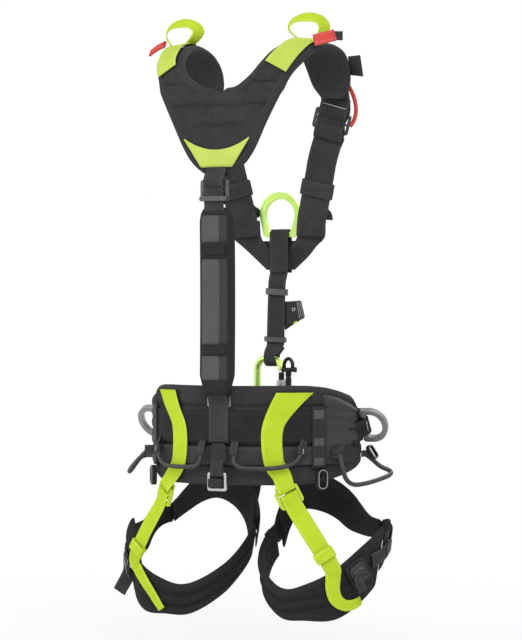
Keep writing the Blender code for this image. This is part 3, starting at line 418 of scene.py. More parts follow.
def tint(tree, share, low, high):
    """Colour between two colours."""
    mix = node(tree, "ShaderNodeMix", {}, data_type="RGBA")
    tree.links.new(share, mix.inputs[0])
    mix.inputs[6].default_value = (*low, 1.0)
    mix.inputs[7].default_value = (*high, 1.0)
    return mix.outputs[2]


def blend_colour(tree, share, low, high):
    """Colour between two colour sockets or colours."""
    mix = node(tree, "ShaderNodeMix", {}, data_type="RGBA")
    tree.links.new(share, mix.inputs[0])
    for index, value in ((6, low), (7, high)):
        if isinstance(value, bpy.types.NodeSocket):
            tree.links.new(value, mix.inputs[index])
        else:
            mix.inputs[index].default_value = (*value, 1.0)
    return mix.outputs[2]


def near(tree, value, target, width):
    """1 where a value is close to a target, falling to 0 at the width."""
    away = maths(tree, "ABSOLUTE", maths(tree, "SUBTRACT", value, target))
    return node(tree, "ShaderNodeMapRange", {"Value": away, "From Min": 0.0, "From Max": width, "To Min": 1.0,
                                             "To Max": 0.0}).outputs[0]


def above(tree, value, low, high):
    """0 below low, 1 above high."""
    return node(tree, "ShaderNodeMapRange", {"Value": value, "From Min": low, "From Max": high}).outputs[0]


def attribute(tree, name):
    return node(tree, "ShaderNodeAttribute", {}, attribute_name=name).outputs["Fac"]


def bump(tree, shader, height, strength, distance):
    made = node(tree, "ShaderNodeBump", {"Height": height, "Strength": strength, "Distance": distance})
    tree.links.new(made.outputs[0], shader.inputs["Normal"])


def webbing(name, dark, light, thread, roughness=0.82, seam=0.0028):
    """Herringbone webbing with a woven edge and a row of stitches along each side."""
    finish, tree, shader = new_material(name, dark, roughness, gloss=0.2)
    split = node(tree, "ShaderNodeSeparateXYZ", {0: node(tree, "ShaderNodeUVMap", {}).outputs[0]})
    across, along = split.outputs[0], split.outputs[1]
    chevron = maths(tree, "MULTIPLY", maths(tree, "PINGPONG", across, 0.0042), 0.9)
    turns = maths(tree, "MULTIPLY", maths(tree, "ADD", along, chevron), 2 * math.pi / 0.0019)
    rib = maths(tree, "SINE", turns)
    yarn = maths(tree, "SINE", maths(tree, "MULTIPLY", across, 2 * math.pi / 0.0013))
    weave = maths(tree, "ADD", maths(tree, "MULTIPLY", rib, 0.32), maths(tree, "MULTIPLY", yarn, 0.18))
    place = object_place(tree)
    cloud = noise(tree, place, 38.0, 4.0)
    grain = noise(tree, place, 900.0, 2.0)
    share = maths(tree, "ADD", maths(tree, "MULTIPLY", weave, 0.55), maths(tree, "MULTIPLY", cloud, 0.75))
    share = maths(tree, "ADD", share, maths(tree, "MULTIPLY", maths(tree, "SUBTRACT", grain, 0.5), 0.5))
    colour = tint(tree, share, dark, light)
    edge = attribute(tree, "edge")
    rim = maths(tree, "MULTIPLY", maths(tree, "SUBTRACT", 1.0, above(tree, edge, 0.0004, 0.0016)), 0.55)
    colour = blend_colour(tree, rim, colour, light)
    dash = maths(tree, "LESS_THAN", maths(tree, "FRACT", maths(tree, "MULTIPLY", along, 1 / 0.0034)), 0.66)
    stitch = maths(tree, "MULTIPLY", near(tree, edge, seam, 0.0007), dash)
    colour = blend_colour(tree, stitch, colour, thread)
    tree.links.new(colour, shader.inputs["Base Color"])
    height = maths(tree, "ADD", weave, maths(tree, "MULTIPLY", stitch, 1.5))
    bump(tree, shader, height, 0.45, 0.0006)
    return finish


def padding(name, mesh_dark, mesh_light, tape_dark, tape_light, tape=0.0105):
    """Spacer-mesh padding with a smooth tape along its edge and sewn seams."""
    finish, tree, shader = new_material(name, mesh_dark, 0.92, gloss=0.2)
    place = object_place(tree)
    holes = node(tree, "ShaderNodeTexVoronoi",
                 {"Vector": place, "Scale": 430.0, "Randomness": 0.25}).outputs[0]
    cloud = noise(tree, place, 22.0, 4.0)
    fuzz = noise(tree, place, 700.0, 2.0)
    share = maths(tree, "ADD", maths(tree, "MULTIPLY", holes, 0.55), maths(tree, "MULTIPLY", cloud, 0.55))
    mesh_colour = tint(tree, share, mesh_dark, mesh_light)
    tape_colour = tint(tree, maths(tree, "ADD", maths(tree, "MULTIPLY", fuzz, 0.7),
                                   maths(tree, "MULTIPLY", cloud, 0.4)),
                       tape_dark, tape_light)
    edge = attribute(tree, "edge")
    inside = above(tree, edge, tape - 0.0006, tape + 0.0006)
    colour = blend_colour(tree, inside, tape_colour, mesh_colour)
    seam = attribute(tree, "seam")
    colour = blend_colour(tree, maths(tree, "MULTIPLY", seam, 0.55), colour, (0.008, 0.008, 0.009))
    tree.links.new(colour, shader.inputs["Base Color"])
    weave = maths(tree, "MULTIPLY", holes, inside)
    height = maths(tree, "ADD", weave, maths(tree, "MULTIPLY", fuzz, 0.35))
    height = maths(tree, "ADD", height, maths(tree, "MULTIPLY", inside, -0.9))
    bump(tree, shader, height, 0.5, 0.0012)
    return finish


def cloth(name, dark, light, roughness=0.9, scale=1500.0):
    """Plain woven cloth for facings and labels."""
    finish, tree, shader = new_material(name, dark, roughness, gloss=0.25)
    place = object_place(tree)
    split = node(tree, "ShaderNodeSeparateXYZ", {0: place})
    warp = maths(tree, "SINE", maths(tree, "MULTIPLY", split.outputs[0], scale * 2.6))
    weft = maths(tree, "SINE", maths(tree, "MULTIPLY", split.outputs[2], scale * 2.6))
    weave = maths(tree, "MULTIPLY", maths(tree, "ADD", warp, weft), 0.25)
    cloud = noise(tree, place, 30.0, 4.0)
    share = maths(tree, "ADD", maths(tree, "MULTIPLY", weave, 0.4), cloud)
    tree.links.new(tint(tree, share, dark, light), shader.inputs["Base Color"])
    bump(tree, shader, weave, 0.35, 0.0005)
    return finish


def metal(name, dark, light, roughness, wear):
    """Anodised or plain metal with fine scuffs."""
    finish, tree, shader = new_material(name, dark, roughness, 1.0)
    place = object_place(tree)
    cloud = noise(tree, place, 55.0, 4.0)
    stretched = node(tree, "ShaderNodeMapping", {"Vector": place, "Scale": (1.0, 1.0, 0.08)}).outputs[0]
    scuff = noise(tree, stretched, 900.0, 3.0)
    colour = tint(tree, cloud, dark, light)
    worn = above(tree, scuff, 0.62, 0.80)
    colour = blend_colour(tree, maths(tree, "MULTIPLY", worn, wear), colour, (0.72, 0.72, 0.72))
    tree.links.new(colour, shader.inputs["Base Color"])
    rough = maths(tree, "ADD", maths(tree, "MULTIPLY", scuff, 0.18), roughness - 0.08)
    tree.links.new(rough, shader.inputs["Roughness"])
    bump(tree, shader, scuff, 0.12, 0.0004)
    return finish


def moulded(name, dark, light, roughness):
    """Moulded plastic with a fine grain."""
    finish, tree, shader = new_material(name, dark, roughness)
    place = object_place(tree)
    cloud = noise(tree, place, 70.0, 4.0)
    grain = noise(tree, place, 1400.0, 2.0)
    tree.links.new(tint(tree, cloud, dark, light), shader.inputs["Base Color"])
    rough = maths(tree, "ADD", maths(tree, "MULTIPLY", grain, 0.2), roughness - 0.1)
    tree.links.new(rough, shader.inputs["Roughness"])
    bump(tree, shader, grain, 0.25, 0.0004)
    return finish


BLACK = webbing("woven_black", (0.021, 0.021, 0.022), (0.074, 0.074, 0.076), (0.095, 0.095, 0.100))
BELT_BLACK = webbing("woven_belt", (0.010, 0.010, 0.011), (0.038, 0.038, 0.040), (0.060, 0.060, 0.062),
                     seam=0.0045)
LIME = webbing("woven_lime", (0.46, 0.62, 0.016), (0.66, 0.84, 0.050), (0.74, 0.90, 0.18), 0.78)
LIME_PATCH = webbing("woven_pale_lime", (0.48, 0.62, 0.070), (0.68, 0.82, 0.150), (0.80, 0.92, 0.34), 0.78)
RED = webbing("woven_red", (0.58, 0.045, 0.040), (0.80, 0.13, 0.11), (0.85, 0.25, 0.22), 0.78)
PADDING = padding("spacer_mesh", (0.014, 0.014, 0.015), (0.058, 0.058, 0.060), (0.022, 0.022, 0.023),
                  (0.056, 0.056, 0.058))
LEG_PADDING = padding("leg_mesh", (0.007, 0.007, 0.008), (0.034, 0.034, 0.035), (0.012, 0.012, 0.013),
                      (0.034, 0.034, 0.035))
FACING = cloth("grey_facing", (0.070, 0.070, 0.071), (0.112, 0.112, 0.114))
# Darker copy of the grey facing cloth: painted shade for the side of the dorsal facing that turns away from
# the light
FACING_SHADE = cloth("facing_painted_shade", (0.034, 0.034, 0.035), (0.054, 0.054, 0.055))
PANEL = cloth("belt_panel", (0.030, 0.030, 0.031), (0.056, 0.056, 0.058), 0.6)
LEG_CLOTH = cloth("leg_cloth", (0.012, 0.012, 0.013), (0.028, 0.028, 0.029))
LABEL = cloth("black_label", (0.014, 0.014, 0.015), (0.034, 0.034, 0.036), 0.6, 2400.0)
REFLECTIVE = cloth("reflective_tape", (0.26, 0.26, 0.27), (0.40, 0.40, 0.41), 0.35)
LIME_CLOTH = cloth("lime_cloth", (0.44, 0.58, 0.085), (0.62, 0.76, 0.150), 0.8)
LIME_ALLOY = metal("anodised_lime", (0.42, 0.68, 0.12), (0.62, 0.86, 0.24), 0.34, 0.20)
GREY_ALLOY = metal("satin_grey", (0.22, 0.22, 0.23), (0.36, 0.36, 0.37), 0.42, 0.35)
DARK_ALLOY = metal("dark_alloy", (0.080, 0.080, 0.083), (0.150, 0.150, 0.155), 0.42, 0.30)
STEEL = metal("polished_steel", (0.46, 0.46, 0.47), (0.66, 0.66, 0.67), 0.28, 0.30)
BLACK_ALLOY = metal("anodised_black", (0.020, 0.020, 0.022), (0.050, 0.050, 0.052), 0.45, 0.25)
BLACK_PLASTIC = moulded("moulded_black", (0.016, 0.016, 0.017), (0.036, 0.036, 0.038), 0.5)
LIME_PLASTIC = moulded("moulded_lime", (0.46, 0.63, 0.020), (0.60, 0.78, 0.045), 0.5)
THREAD = moulded("white_thread", (0.62, 0.62, 0.60), (0.78, 0.78, 0.76), 0.8)


# Mesh builders


def add_piece(name, mesh, finish, body="harness", nodes=(), place=None):
    """Show a mesh as a piece that moves with a body and stands for CAD nodes."""
    mesh.materials.append(finish)
    piece = bpy.data.objects.new(name, mesh)
    bpy.context.scene.collection.objects.link(piece)
    if place is not None:
        piece.matrix_world = place
    bpy.context.view_layer.update()
    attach(piece, body)
    if nodes:
        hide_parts(*nodes)
    return piece


def make_mesh(name, points, faces, plan=None, edges=None):
    """Closed smooth mesh; plan is each point's place on flat webbing, edges its distance to the edge."""
    mesh = bpy.data.meshes.new(name)
    mesh.from_pydata([tuple(point) for point in points], [], faces)
    if plan is not None:
        corner = np.zeros(len(mesh.loops), dtype=np.int32)
        mesh.loops.foreach_get("vertex_index", corner)
        layer = mesh.uv_layers.new(name="plan")
        layer.data.foreach_set("uv", np.array(plan, dtype=np.float32)[corner].ravel())
    if edges is not None:
        store = mesh.attributes.new("edge", "FLOAT", "POINT")
        store.data.foreach_set("value", np.array(edges, dtype=np.float32))
    weld = bmesh.new()
    weld.from_mesh(mesh)
    bmesh.ops.recalc_face_normals(weld, faces=weld.faces)
    weld.to_mesh(mesh)
    weld.free()
    mesh.shade_smooth()
    return mesh


def loft_faces(rings, size, closed=False):
    """Quads between rings of points, with a cap on each open end."""
    faces = []
    for ring in range(rings if closed else rings - 1):
        here = ring * size
        there = (ring + 1) % rings * size
        for index in range(size):
            other = (index + 1) % size
            faces.append((here + index, here + other, there + other, there + index))
    if not closed:
        faces.append(tuple(range(size)))
        faces.append(tuple(range((rings - 1) * size, rings * size)))
    return faces


def resample(path, step):
    """Rows at an even spacing along a dense path."""
    length = np.concatenate(((0.0,), np.cumsum(np.linalg.norm(np.diff(path[:, :3], axis=0), axis=1))))
    count = max(3, int(round(length[-1] / step)) + 1)
    even = np.linspace(0.0, length[-1], count)
    return even, np.column_stack([np.interp(even, length, column) for column in path.T])


def webbing_section(width, thickness, columns):
    """Cross section of webbing: place across, height, and distance to the edge."""
    inner = width / 2 - 0.4 * thickness
    across = np.linspace(-inner, inner, columns + 1)
    top = [(s, thickness * (1.0 - 0.10 * (2 * s / width) ** 4)) for s in across]
    low = [(s, 0.0) for s in across[::-1]]
    return top + [(width / 2, 0.5 * thickness)] + low + [(-width / 2, 0.5 * thickness)]


def ribbon(name, route, finish, side=1, body="harness", nodes=None, thickness=0.0020, base=0.0, level=0,
           columns=6, step=0.0028, ripple=0.0):
    """Webbing along a route, as in the frame, with round edges and its plan for the weave."""
    spans = 8
    dense = smooth(route, spans)
    across = np.cross(np.gradient(dense[:, :3], axis=0), dense[:, 3:6])
    across[:level * spans] = np.cross(-UP, dense[:level * spans, 3:6])
    across /= np.linalg.norm(across, axis=1)[:, None]
    length, path = resample(np.hstack((dense, across)), step)
    along = np.gradient(path[:, :3], axis=0)
    points, plan, edges = [], [], []
    for index, place in enumerate(path):
        wide = unit(place[7:10])
        out = unit(np.cross(wide, along[index]))
        swell = ripple * math.sin(length[index] * 61.0) * math.sin(length[index] * 23.0 + 1.0)
        for s, h in webbing_section(place[6], thickness, columns):
            cup = swell * (1.0 - (2 * s / place[6]) ** 2)
            points.append(mirrored(place[:3] + s * wide + (base + h + cup) * out, side))
            plan.append((s + place[6] / 2, length[index]))
            edges.append(place[6] / 2 - abs(s))
    size = len(webbing_section(0.02, thickness, columns))
    mesh = make_mesh(name, points, loft_faces(len(path), size), plan, edges)
    return add_piece(name, mesh, finish, body, (nodes if nodes is not None else ()))


def web(node_name, route, finish, side=1, **options):
    """Webbing that stands for one CAD node."""
    return ribbon(node_name + "_detail", route, finish, side, nodes=(node_name,), **options)


def stitch_row(name, start, end, out, count, side=1, body="harness", size=0.0006):
    """A row of short stitches from start to end, lying on a face that looks out."""
    start, end = np.array(start), np.array(end)
    along = unit(end - start)
    across = unit(np.cross(out, along))
    pitch = np.linalg.norm(end - start) / count
    points, faces = [], []
    for index in range(count):
        middle = start + (index + 0.5) * pitch * along
        first = len(points)
        for share, swell in ((-0.38, 0.4), (-0.24, 1.0), (0.24, 1.0), (0.38, 0.4)):
            for turn in range(6):
                angle = math.pi * turn / 3
                ring = math.cos(angle) * across + math.sin(angle) * unit(out)
                points.append(mirrored(middle + share * pitch * along + size * swell * ring, side))
        faces += [tuple(first + corner for corner in face) for face in loft_faces(4, 6)]
    return add_piece(name, make_mesh(name, points, faces), THREAD, body)


def carry_frames(points, closed):
    """Directions and steady cross directions along a path."""
    points = np.array(points)
    if closed:
        ahead = np.roll(points, -1, axis=0) - np.roll(points, 1, axis=0)
    else:
        ahead = np.gradient(points, axis=0)
    ahead /= np.linalg.norm(ahead, axis=1)[:, None]
    start = np.cross(ahead[0], UP if abs(ahead[0][2]) < 0.9 else FORWARD)
    cross = [unit(start)]
    for direction in ahead[1:]:
        cross.append(unit(cross[-1] - np.dot(cross[-1], direction) * direction))
    return points, ahead, cross


def tube(name, points, radius, finish, side=1, body="harness", nodes=(), ring=14, closed=False, shape=None):
    """A round bar along points; shape gives the radius at a share of the length."""
    points, ahead, cross = carry_frames(points, closed)
    length = np.concatenate(((0.0,), np.cumsum(np.linalg.norm(np.diff(points, axis=0), axis=1))))
    verts, plan = [], []
    for index, point in enumerate(points):
        size = radius * (shape(length[index] / length[-1]) if shape else 1.0)
        second = np.cross(ahead[index], cross[index])
        for turn in range(ring):
            angle = 2 * math.pi * turn / ring
            spoke = math.cos(angle) * cross[index] + math.sin(angle) * second
            verts.append(mirrored(point + size * spoke, side))
            plan.append((radius * angle, length[index]))
    mesh = make_mesh(name, verts, loft_faces(len(points), ring, closed), plan, np.full(len(verts), 0.02))
    return add_piece(name, mesh, finish, body, nodes)


def plate(name, outlines, thickness, place, finish, body="harness", nodes=(), edge=0.0008, segments=3):
    """A flat plate of the first outline with the other outlines as holes, and round edges."""
    curve = bpy.data.curves.new(name, "CURVE")
    curve.dimensions = "2D"
    curve.fill_mode = "BOTH"
    curve.extrude = thickness / 2
    for outline in outlines:
        spline = curve.splines.new("POLY")
        spline.points.add(len(outline) - 1)
        for target, point in zip(spline.points, outline):
            target.co = (point[0], point[1], 0.0, 1.0)
        spline.use_cyclic_u = True
    blank = bpy.data.objects.new(name + "_blank", curve)
    bpy.context.scene.collection.objects.link(blank)
    bpy.context.view_layer.update()
    mesh = bpy.data.meshes.new_from_object(blank.evaluated_get(bpy.context.evaluated_depsgraph_get()))
    bpy.data.objects.remove(blank, do_unlink=True)
    weld = bmesh.new()
    weld.from_mesh(mesh)
    bmesh.ops.remove_doubles(weld, verts=weld.verts, dist=0.00001)
    bmesh.ops.dissolve_limit(weld, angle_limit=math.radians(1), verts=weld.verts, edges=weld.edges)
    bmesh.ops.recalc_face_normals(weld, faces=weld.faces)
    weld.to_mesh(mesh)
    weld.free()
    mesh.materials.clear()
    mesh.shade_smooth()
    piece = add_piece(name, mesh, finish, body, nodes, place)
    round_off = piece.modifiers.new("edge", "BEVEL")
    round_off.width = edge
    round_off.segments = segments
    round_off.limit_method = "ANGLE"
    round_off.angle_limit = math.radians(50)
    piece.modifiers.new("shading", "WEIGHTED_NORMAL")
    return piece


def spread(length, step, rim=True, extra=()):
    """Shares from 0 to 1 at even steps, closer along both edges and at extra places, given in metres."""
    close = [0.0, 0.0022, 0.0050, 0.0082, 0.0104, 0.0126] if rim else [0.0]
    marks = set(close) | {length - mark for mark in close}
    for mark in extra:
        marks |= {mark - 0.0028, mark, mark + 0.0028}
    for mark in np.arange(close[-1] + step, length - close[-1] - 0.6 * step, step):
        if min(abs(mark - other) for other in marks) > 0.6 * step:
            marks.add(mark)
    return np.array(sorted(marks)) / length


def tape_profile(distance, thickness, thin):
    """Height of a pad's outer face by distance to its edge: bound rim, groove and crowned middle."""
    base = thickness * (thin + (1.0 - thin) * rise(distance, 0.012))
    rim = 0.0013 * math.exp(-((distance - 0.0055) / 0.0042) ** 2)
    groove = 0.0019 * math.exp(-((distance - 0.0108) / 0.0022) ** 2)
    return base + rim - groove


def soft_pad(name, place, columns, rows, field, node_name, cap, both_sides=False, side=1,
             finish=PADDING):
    """A stuffed pad: outer and inner face, walls, and a cloth simulation under pressure held along its seams.

    place(u, v, lift) lays a point; field(u, v) gives lift, distance to the edge, seam share and held share.
    """
    shell = bmesh.new()
    keep_edge = shell.verts.layers.float.new("edge")
    keep_seam = shell.verts.layers.float.new("seam")
    keep_hold = shell.verts.layers.float.new("held")
    keep_inner = shell.verts.layers.float_vector.new("inner")
    for sign in ((1, -1) if both_sides else (side,)):
        grid = []
        for v in rows:
            line = []
            for u in columns:
                lift, edge, seam, held = field(u, v)
                vert = shell.verts.new(mirrored(place(u, v, lift), sign))
                vert[keep_edge] = edge
                vert[keep_seam] = seam
                vert[keep_hold] = held
                vert[keep_inner] = Vector(mirrored(place(u, v, 0.0), sign))
                line.append(vert)
            grid.append(line)
        for low, high in zip(grid, grid[1:]):
            for index in range(len(columns) - 1):
                shell.faces.new((low[index], low[index + 1], high[index + 1], high[index]))
    if both_sides:
        bmesh.ops.remove_doubles(shell, verts=shell.verts, dist=0.00002)
    outer = list(shell.verts)
    rim = [edge for edge in shell.edges if edge.is_boundary]
    outer_faces = list(shell.faces)
    twins = {}
    for vert in outer:
        twin = shell.verts.new(vert[keep_inner])
        twin[keep_edge] = vert[keep_edge]
        twin[keep_seam] = vert[keep_seam]
        twin[keep_hold] = 1.0
        twins[vert] = twin
    for face in outer_faces:
        shell.faces.new([twins[vert] for vert in reversed(face.verts)])
    for edge in rim:
        first, second = edge.verts
        shell.faces.new((first, second, twins[second], twins[first]))
    bmesh.ops.recalc_face_normals(shell, faces=shell.faces)
    mesh = bpy.data.meshes.new(name)
    shell.to_mesh(mesh)
    shell.free()
    mesh.attributes.remove(mesh.attributes["inner"])
    mesh.shade_smooth()
    piece = add_piece(name, mesh, finish, nodes=(node_name,))
    inflate(piece, cap)
    mesh.attributes.remove(mesh.attributes["held"])
    fine = piece.modifiers.new("fine", "SUBSURF")
    fine.levels = 1
    fine.render_levels = 1
    return piece


def inflate(piece, cap):
    """Swell a pad by air pressure where it is not held, and keep the result in its mesh."""
    scene = bpy.context.scene
    mesh = piece.data
    count = len(mesh.vertices)
    held = np.zeros(count, dtype=np.float32)
    mesh.attributes["held"].data.foreach_get("value", held)
    rest = np.zeros(3 * count, dtype=np.float32)
    mesh.vertices.foreach_get("co", rest)
    group = piece.vertex_groups.new(name="held")
    for index, share in enumerate(held):
        group.add([index], float(share), "REPLACE")
    simulation = piece.modifiers.new("air", "CLOTH")
    settings = simulation.settings
    settings.quality = 5
    settings.use_pressure = True
    settings.uniform_pressure_force = 4.0
    settings.shrink_min = -0.035
    settings.vertex_group_mass = group.name
    settings.effector_weights.gravity = 0.0
    simulation.point_cache.frame_start = 1
    simulation.point_cache.frame_end = 20
    for moment in range(1, 21):
        scene.frame_set(moment)
    result = piece.evaluated_get(bpy.context.evaluated_depsgraph_get())
    swollen = np.zeros(3 * count, dtype=np.float32)
    result.data.vertices.foreach_get("co", swollen)
    piece.modifiers.remove(simulation)
    piece.vertex_groups.remove(group)
    scene.frame_set(1)
    move = (swollen - rest).reshape(-1, 3)
    size = np.linalg.norm(move, axis=1)
    allowed = cap * np.tanh(size / cap) * (1.0 - held)
    move *= (allowed / np.maximum(size, 1e-9))[:, None]
    mesh.vertices.foreach_set("co", rest + move.ravel())
    mesh.update()


# Pads

def near_share(distance, inside, fade=0.004):
    """1 within a distance, falling to 0 over the fade."""
    return min(1.0, max(0.0, 1.0 - (distance - inside) / fade))


def line_share(distance, width=0.0020):
    return math.exp(-(distance / width) ** 2)


def build_yoke_pad():
    length = 0.40
    seam_heights = (0.4480, 0.4210)

    rim = [yoke_flat(1.0, v) for v in np.linspace(0.0, 1.0, 360)]
    rim += [yoke_flat(0.0, v) for v in np.linspace(YOKE_NECK, 1.0, 280)]
    rim += [yoke_flat(u, end) for end in (0.0, 1.0) for u in np.linspace(0.0, 1.0, 40)]
    rim = np.array(rim)
    rim = np.vstack((rim, rim[rim[:, 0] < 0.04] * (-1.0, 1.0, 1.0)))

    def field(u, v):
        width = np.linalg.norm(yoke_flat(1.0, v) - yoke_flat(0.0, v))
        point = yoke_flat(u, v)
        edge = float(np.min(np.linalg.norm(rim - point, axis=1)))
        seam = 0.0
        if point[1] < -0.075:
            seam = max(line_share(point[2] - height) for height in seam_heights)
        seam = max(seam, line_share((v - 0.395) * length))
        seam *= min(1.0, max(0.0, (edge - 0.008) / 0.004))
        held = max(near_share(edge, 0.0115), seam)
        held = max(held, min(near_share(abs(u - 0.52) * width, 0.018),
                             near_share(abs(v - 0.597) * length, 0.053)))
        held = max(held, near_share((1.0 - v) * length, 0.050))
        if point[1] < -0.075:
            held = max(held, 0.7 * near_share(abs(point[2] - 0.384), 0.022))
        return tape_profile(edge, YOKE_PAD, 0.55) - 0.0017 * seam, edge, seam, held

    marks = []
    for height in seam_heights:
        marks.append(np.interp(height, [p[2] for p in YOKE_INNER[:5]], np.linspace(0, YOKE_NECK, 5)) * length)
    rows = spread(length, 0.0045, extra=(*marks, 0.395 * length))
    columns = spread(0.085, 0.0048)
    soft_pad("yoke_padding", yoke, columns, rows, field, "yoke_pad", 0.0035, both_sides=True)


def build_belt_pad():
    seam_heights = (0.0430, -0.0100, -0.0385)
    height = BELT_TOP_LINE[0][1] - BELT_BOTTOM

    def place(u, v, lift):
        angle = (2 * u - 1) * BELT_END
        low, high = belt_edges(angle)
        return waist(angle, low + v * (high - low), lift)

    def field(u, v):
        angle = (2 * u - 1) * BELT_END
        low, high = belt_edges(angle)
        z = low + v * (high - low)
        x = abs(WAIST_HALF * math.sin(math.radians(angle)))
        edge = min(z - low, high - z, (BELT_END - abs(angle)) * 0.0025)
        seam = max(line_share(z - line) for line in seam_heights)
        seam *= min(1.0, max(0.0, (edge - 0.008) / 0.004))
        held = max(near_share(edge, 0.0115), seam, near_share(abs(z - BELT_WEB_Z), 0.023))
        if abs(angle) < 76:
            held = max(held, near_share(abs(z - GEAR_BAND_Z), 0.0125))
        held = max(held, near_share(abs(x - 0.080 - 0.3 * max(0.0, z)), 0.026), near_share(x, 0.0165))
        return tape_profile(edge, BELT_PAD - 0.0003, 0.5) - 0.0018 * seam, edge, seam, held

    columns = spread(0.505, 0.0048)
    rows = spread(height, 0.0048, extra=[line - BELT_BOTTOM for line in seam_heights])
    soft_pad("belt_padding", place, columns, rows, field, "belt_pad", 0.0035)


def build_dorsal_pad():
    low_end = 0.057
    height = DORSAL_TOP - low_end
    thick, rim_thick = 0.0178, 0.0108
    facing_half, facing_middle = 0.0188, 0.0008
    outline = ((low_end, 0.070, 0.084, 0.293, 0.302, DORSAL_TOP),
               (0.0150, 0.0205, 0.0246, 0.0246, 0.0225, 0.0178))

    def half(v):
        return np.interp(low_end + v * height, *outline)

    def place(u, v, lift):
        y = -0.0915 + 0.0020 * math.sin(math.pi * v) - lift
        return np.array(((2 * u - 1) * half(v), y, low_end + v * height))

    def field(u, v):
        x = abs(2 * u - 1) * half(v)
        edge = min(half(v) - x, min(v, 1.0 - v) * height)
        lift = rim_thick + (thick - rim_thick) * rise(edge, 0.0062)
        held = max(near_share(edge, 0.004), near_share(x, 0.0150))
        return lift, 0.004, 0.0, held

    columns = spread(0.049, 0.0035, rim=False)
    rows = spread(height, 0.0045)
    soft_pad("dorsal_padding", place, columns, rows, field, "dorsal_pad", 0.0020, finish=LEG_PADDING)

    for word, low, high in (("top", 0.263, 0.299), ("middle", 0.126, 0.240), ("low", 0.078, 0.110)):
        # Each facing is two sheets of one cloth: its own grey on the left, and a darker sheet of painted
        # shade over the right third, where the curved facing turns away from the light
        for part, left, right, finish in (("light", 0.0, 0.70, FACING), ("dark", 0.705, 1.0, FACING_SHADE)):

            def facing(u, v, lift):
                share = (low + v * (high - low) - low_end) / height
                x = facing_middle + (2 * (left + u * (right - left)) - 1) * facing_half
                across = 0.5 + x / (2 * half(share))
                return place(across, share, field(across, share)[0] + lift)

            facing_sheet("dorsal_facing_" + word + "_" + part, facing, 10, max(8, int((high - low) / 0.004)),
                         0.0007, finish, corner=0.04)
    for word, z in (("upper", 0.2515), ("lower", 0.1180)):
        rows = [row((x, -0.0897 - thick - 0.0002, z), BACKWARD, 0.0130) for x in (-0.0172, 0.0, 0.0172)]
        ribbon("dorsal_bar_" + word, rows, BELT_BLACK, thickness=0.0012)


def facing_sheet(name, place, columns, rows, lift, finish, side=1, body="harness", nodes=(), corner=0.12):
    """A thin sewn facing with rounded corners, laid by place(u, v, lift)."""
    points, faces, edges = [], [], []
    for layer in (lift, -0.0012):
        for v in np.linspace(0.0, 1.0, rows + 1):
            pinch = 1.0
            for to_end in (v, 1.0 - v):
                if to_end * rows < 2:
                    pinch = min(pinch, 1.0 - corner * (1.0 - to_end * rows / 2) ** 2)
            for u in np.linspace(0.0, 1.0, columns + 1):
                squeezed = 0.5 + (u - 0.5) * pinch
                border = 0.35 if u in (0.0, 1.0) or v in (0.0, 1.0) else 1.0
                points.append(mirrored(place(squeezed, v, layer * border if layer > 0 else layer), side))
                edges.append(0.02)
    size = (columns + 1) * (rows + 1)
    for v in range(rows):
        for u in range(columns):
            first = v * (columns + 1) + u
            quad = (first, first + 1, first + columns + 2, first + columns + 1)
            faces.append(quad)
            faces.append(tuple(size + index for index in reversed(quad)))
    border = list(range(columns + 1))
    border += [v * (columns + 1) + columns for v in range(1, rows + 1)]
    border += [rows * (columns + 1) + u for u in range(columns - 1, -1, -1)]
    border += [v * (columns + 1) for v in range(rows - 1, 0, -1)]
    for here, there in zip(border, border[1:] + border[:1]):
        faces.append((here, there, size + there, size + here))
    mesh = make_mesh(name, points, faces, [(p[0], p[2]) for p in points], edges)
    return add_piece(name, mesh, finish, body, nodes)


def leg_back_half(turn):
    share = min(1.0, max(0.0, (turn + 15.0) / 75.0))
    return 0.0215 + 0.0195 * share * share * (3 - 2 * share)


def build_leg_pads(word, side):
    start, end = LEG_BACK_ENDS
    degree = 0.00148

    def back_place(u, v, lift):
        turn = start + u * (end - start)
        return leg(turn, (2 * v - 1) * leg_back_half(turn), lift)

    def back_field(u, v):
        turn = start + u * (end - start)
        half = leg_back_half(turn)
        up = (2 * v - 1) * half
        to_end = min(turn - start, end - turn)
        edge = min((1 - abs(2 * v - 1)) * half, to_end * 0.0015)
        seam = max(line_share(up - line) for line in (-0.0080, 0.0070))
        seam *= min(1.0, max(0.0, (edge - 0.009) / 0.004)) * rise(to_end, 30.0)
        held = max(near_share(edge, 0.0110), seam)
        strap = min(near_share(abs(turn - 27.5) * degree, 0.0125), near_share(-0.014 - up, 0.0))
        tail = min(near_share(abs(turn - 45.0) * degree, 0.020), near_share(abs(up + 0.022), 0.013))
        buckle = min(near_share(abs(turn - 56.0) * degree, 0.028),
                     near_share(abs(up - LEG_BUCKLE_RISE), 0.018))
        held = max(held, strap, tail, buckle)
        return tape_profile(edge, LEG_PAD - 0.0002, 0.5) - 0.0018 * seam, edge, seam, held

    columns = spread(0.279, 0.0046)
    rows = spread(0.060, 0.0040, extra=(0.0218, 0.0372))
    soft_pad("leg_padding_" + word, back_place, columns, rows, back_field, "leg_pad_" + word, 0.0032,
             side=side, finish=LEG_PADDING)

    front_start, front_end = LEG_FRONT_ENDS

    def front_place(u, v, lift):
        turn = front_start + u * (front_end - front_start)
        low, high = leg_front_edges(word, turn)
        return leg(turn, low + v * (high - low) - leg_middle(turn), lift)

    def front_field(u, v):
        turn = front_start + u * (front_end - front_start)
        low, high = leg_front_edges(word, turn)
        to_end = min(turn - front_start, front_end - turn) * 0.0015
        edge = min((0.5 - abs(v - 0.5)) * (high - low), to_end)
        held = max(near_share(edge, 0.0100), near_share(abs(v - 0.5) * (high - low), 0.0120))
        return tape_profile(edge, LEG_PAD - 0.0002, 0.5), edge, 0.0, held

    columns = spread(0.168, 0.0046)
    rows = spread(0.050, 0.0040)
    soft_pad("leg_front_padding_" + word, front_place, columns, rows, front_field, "leg_front_pad_" + word,
             0.0030, side=side, finish=LEG_PADDING)


# Shoulders

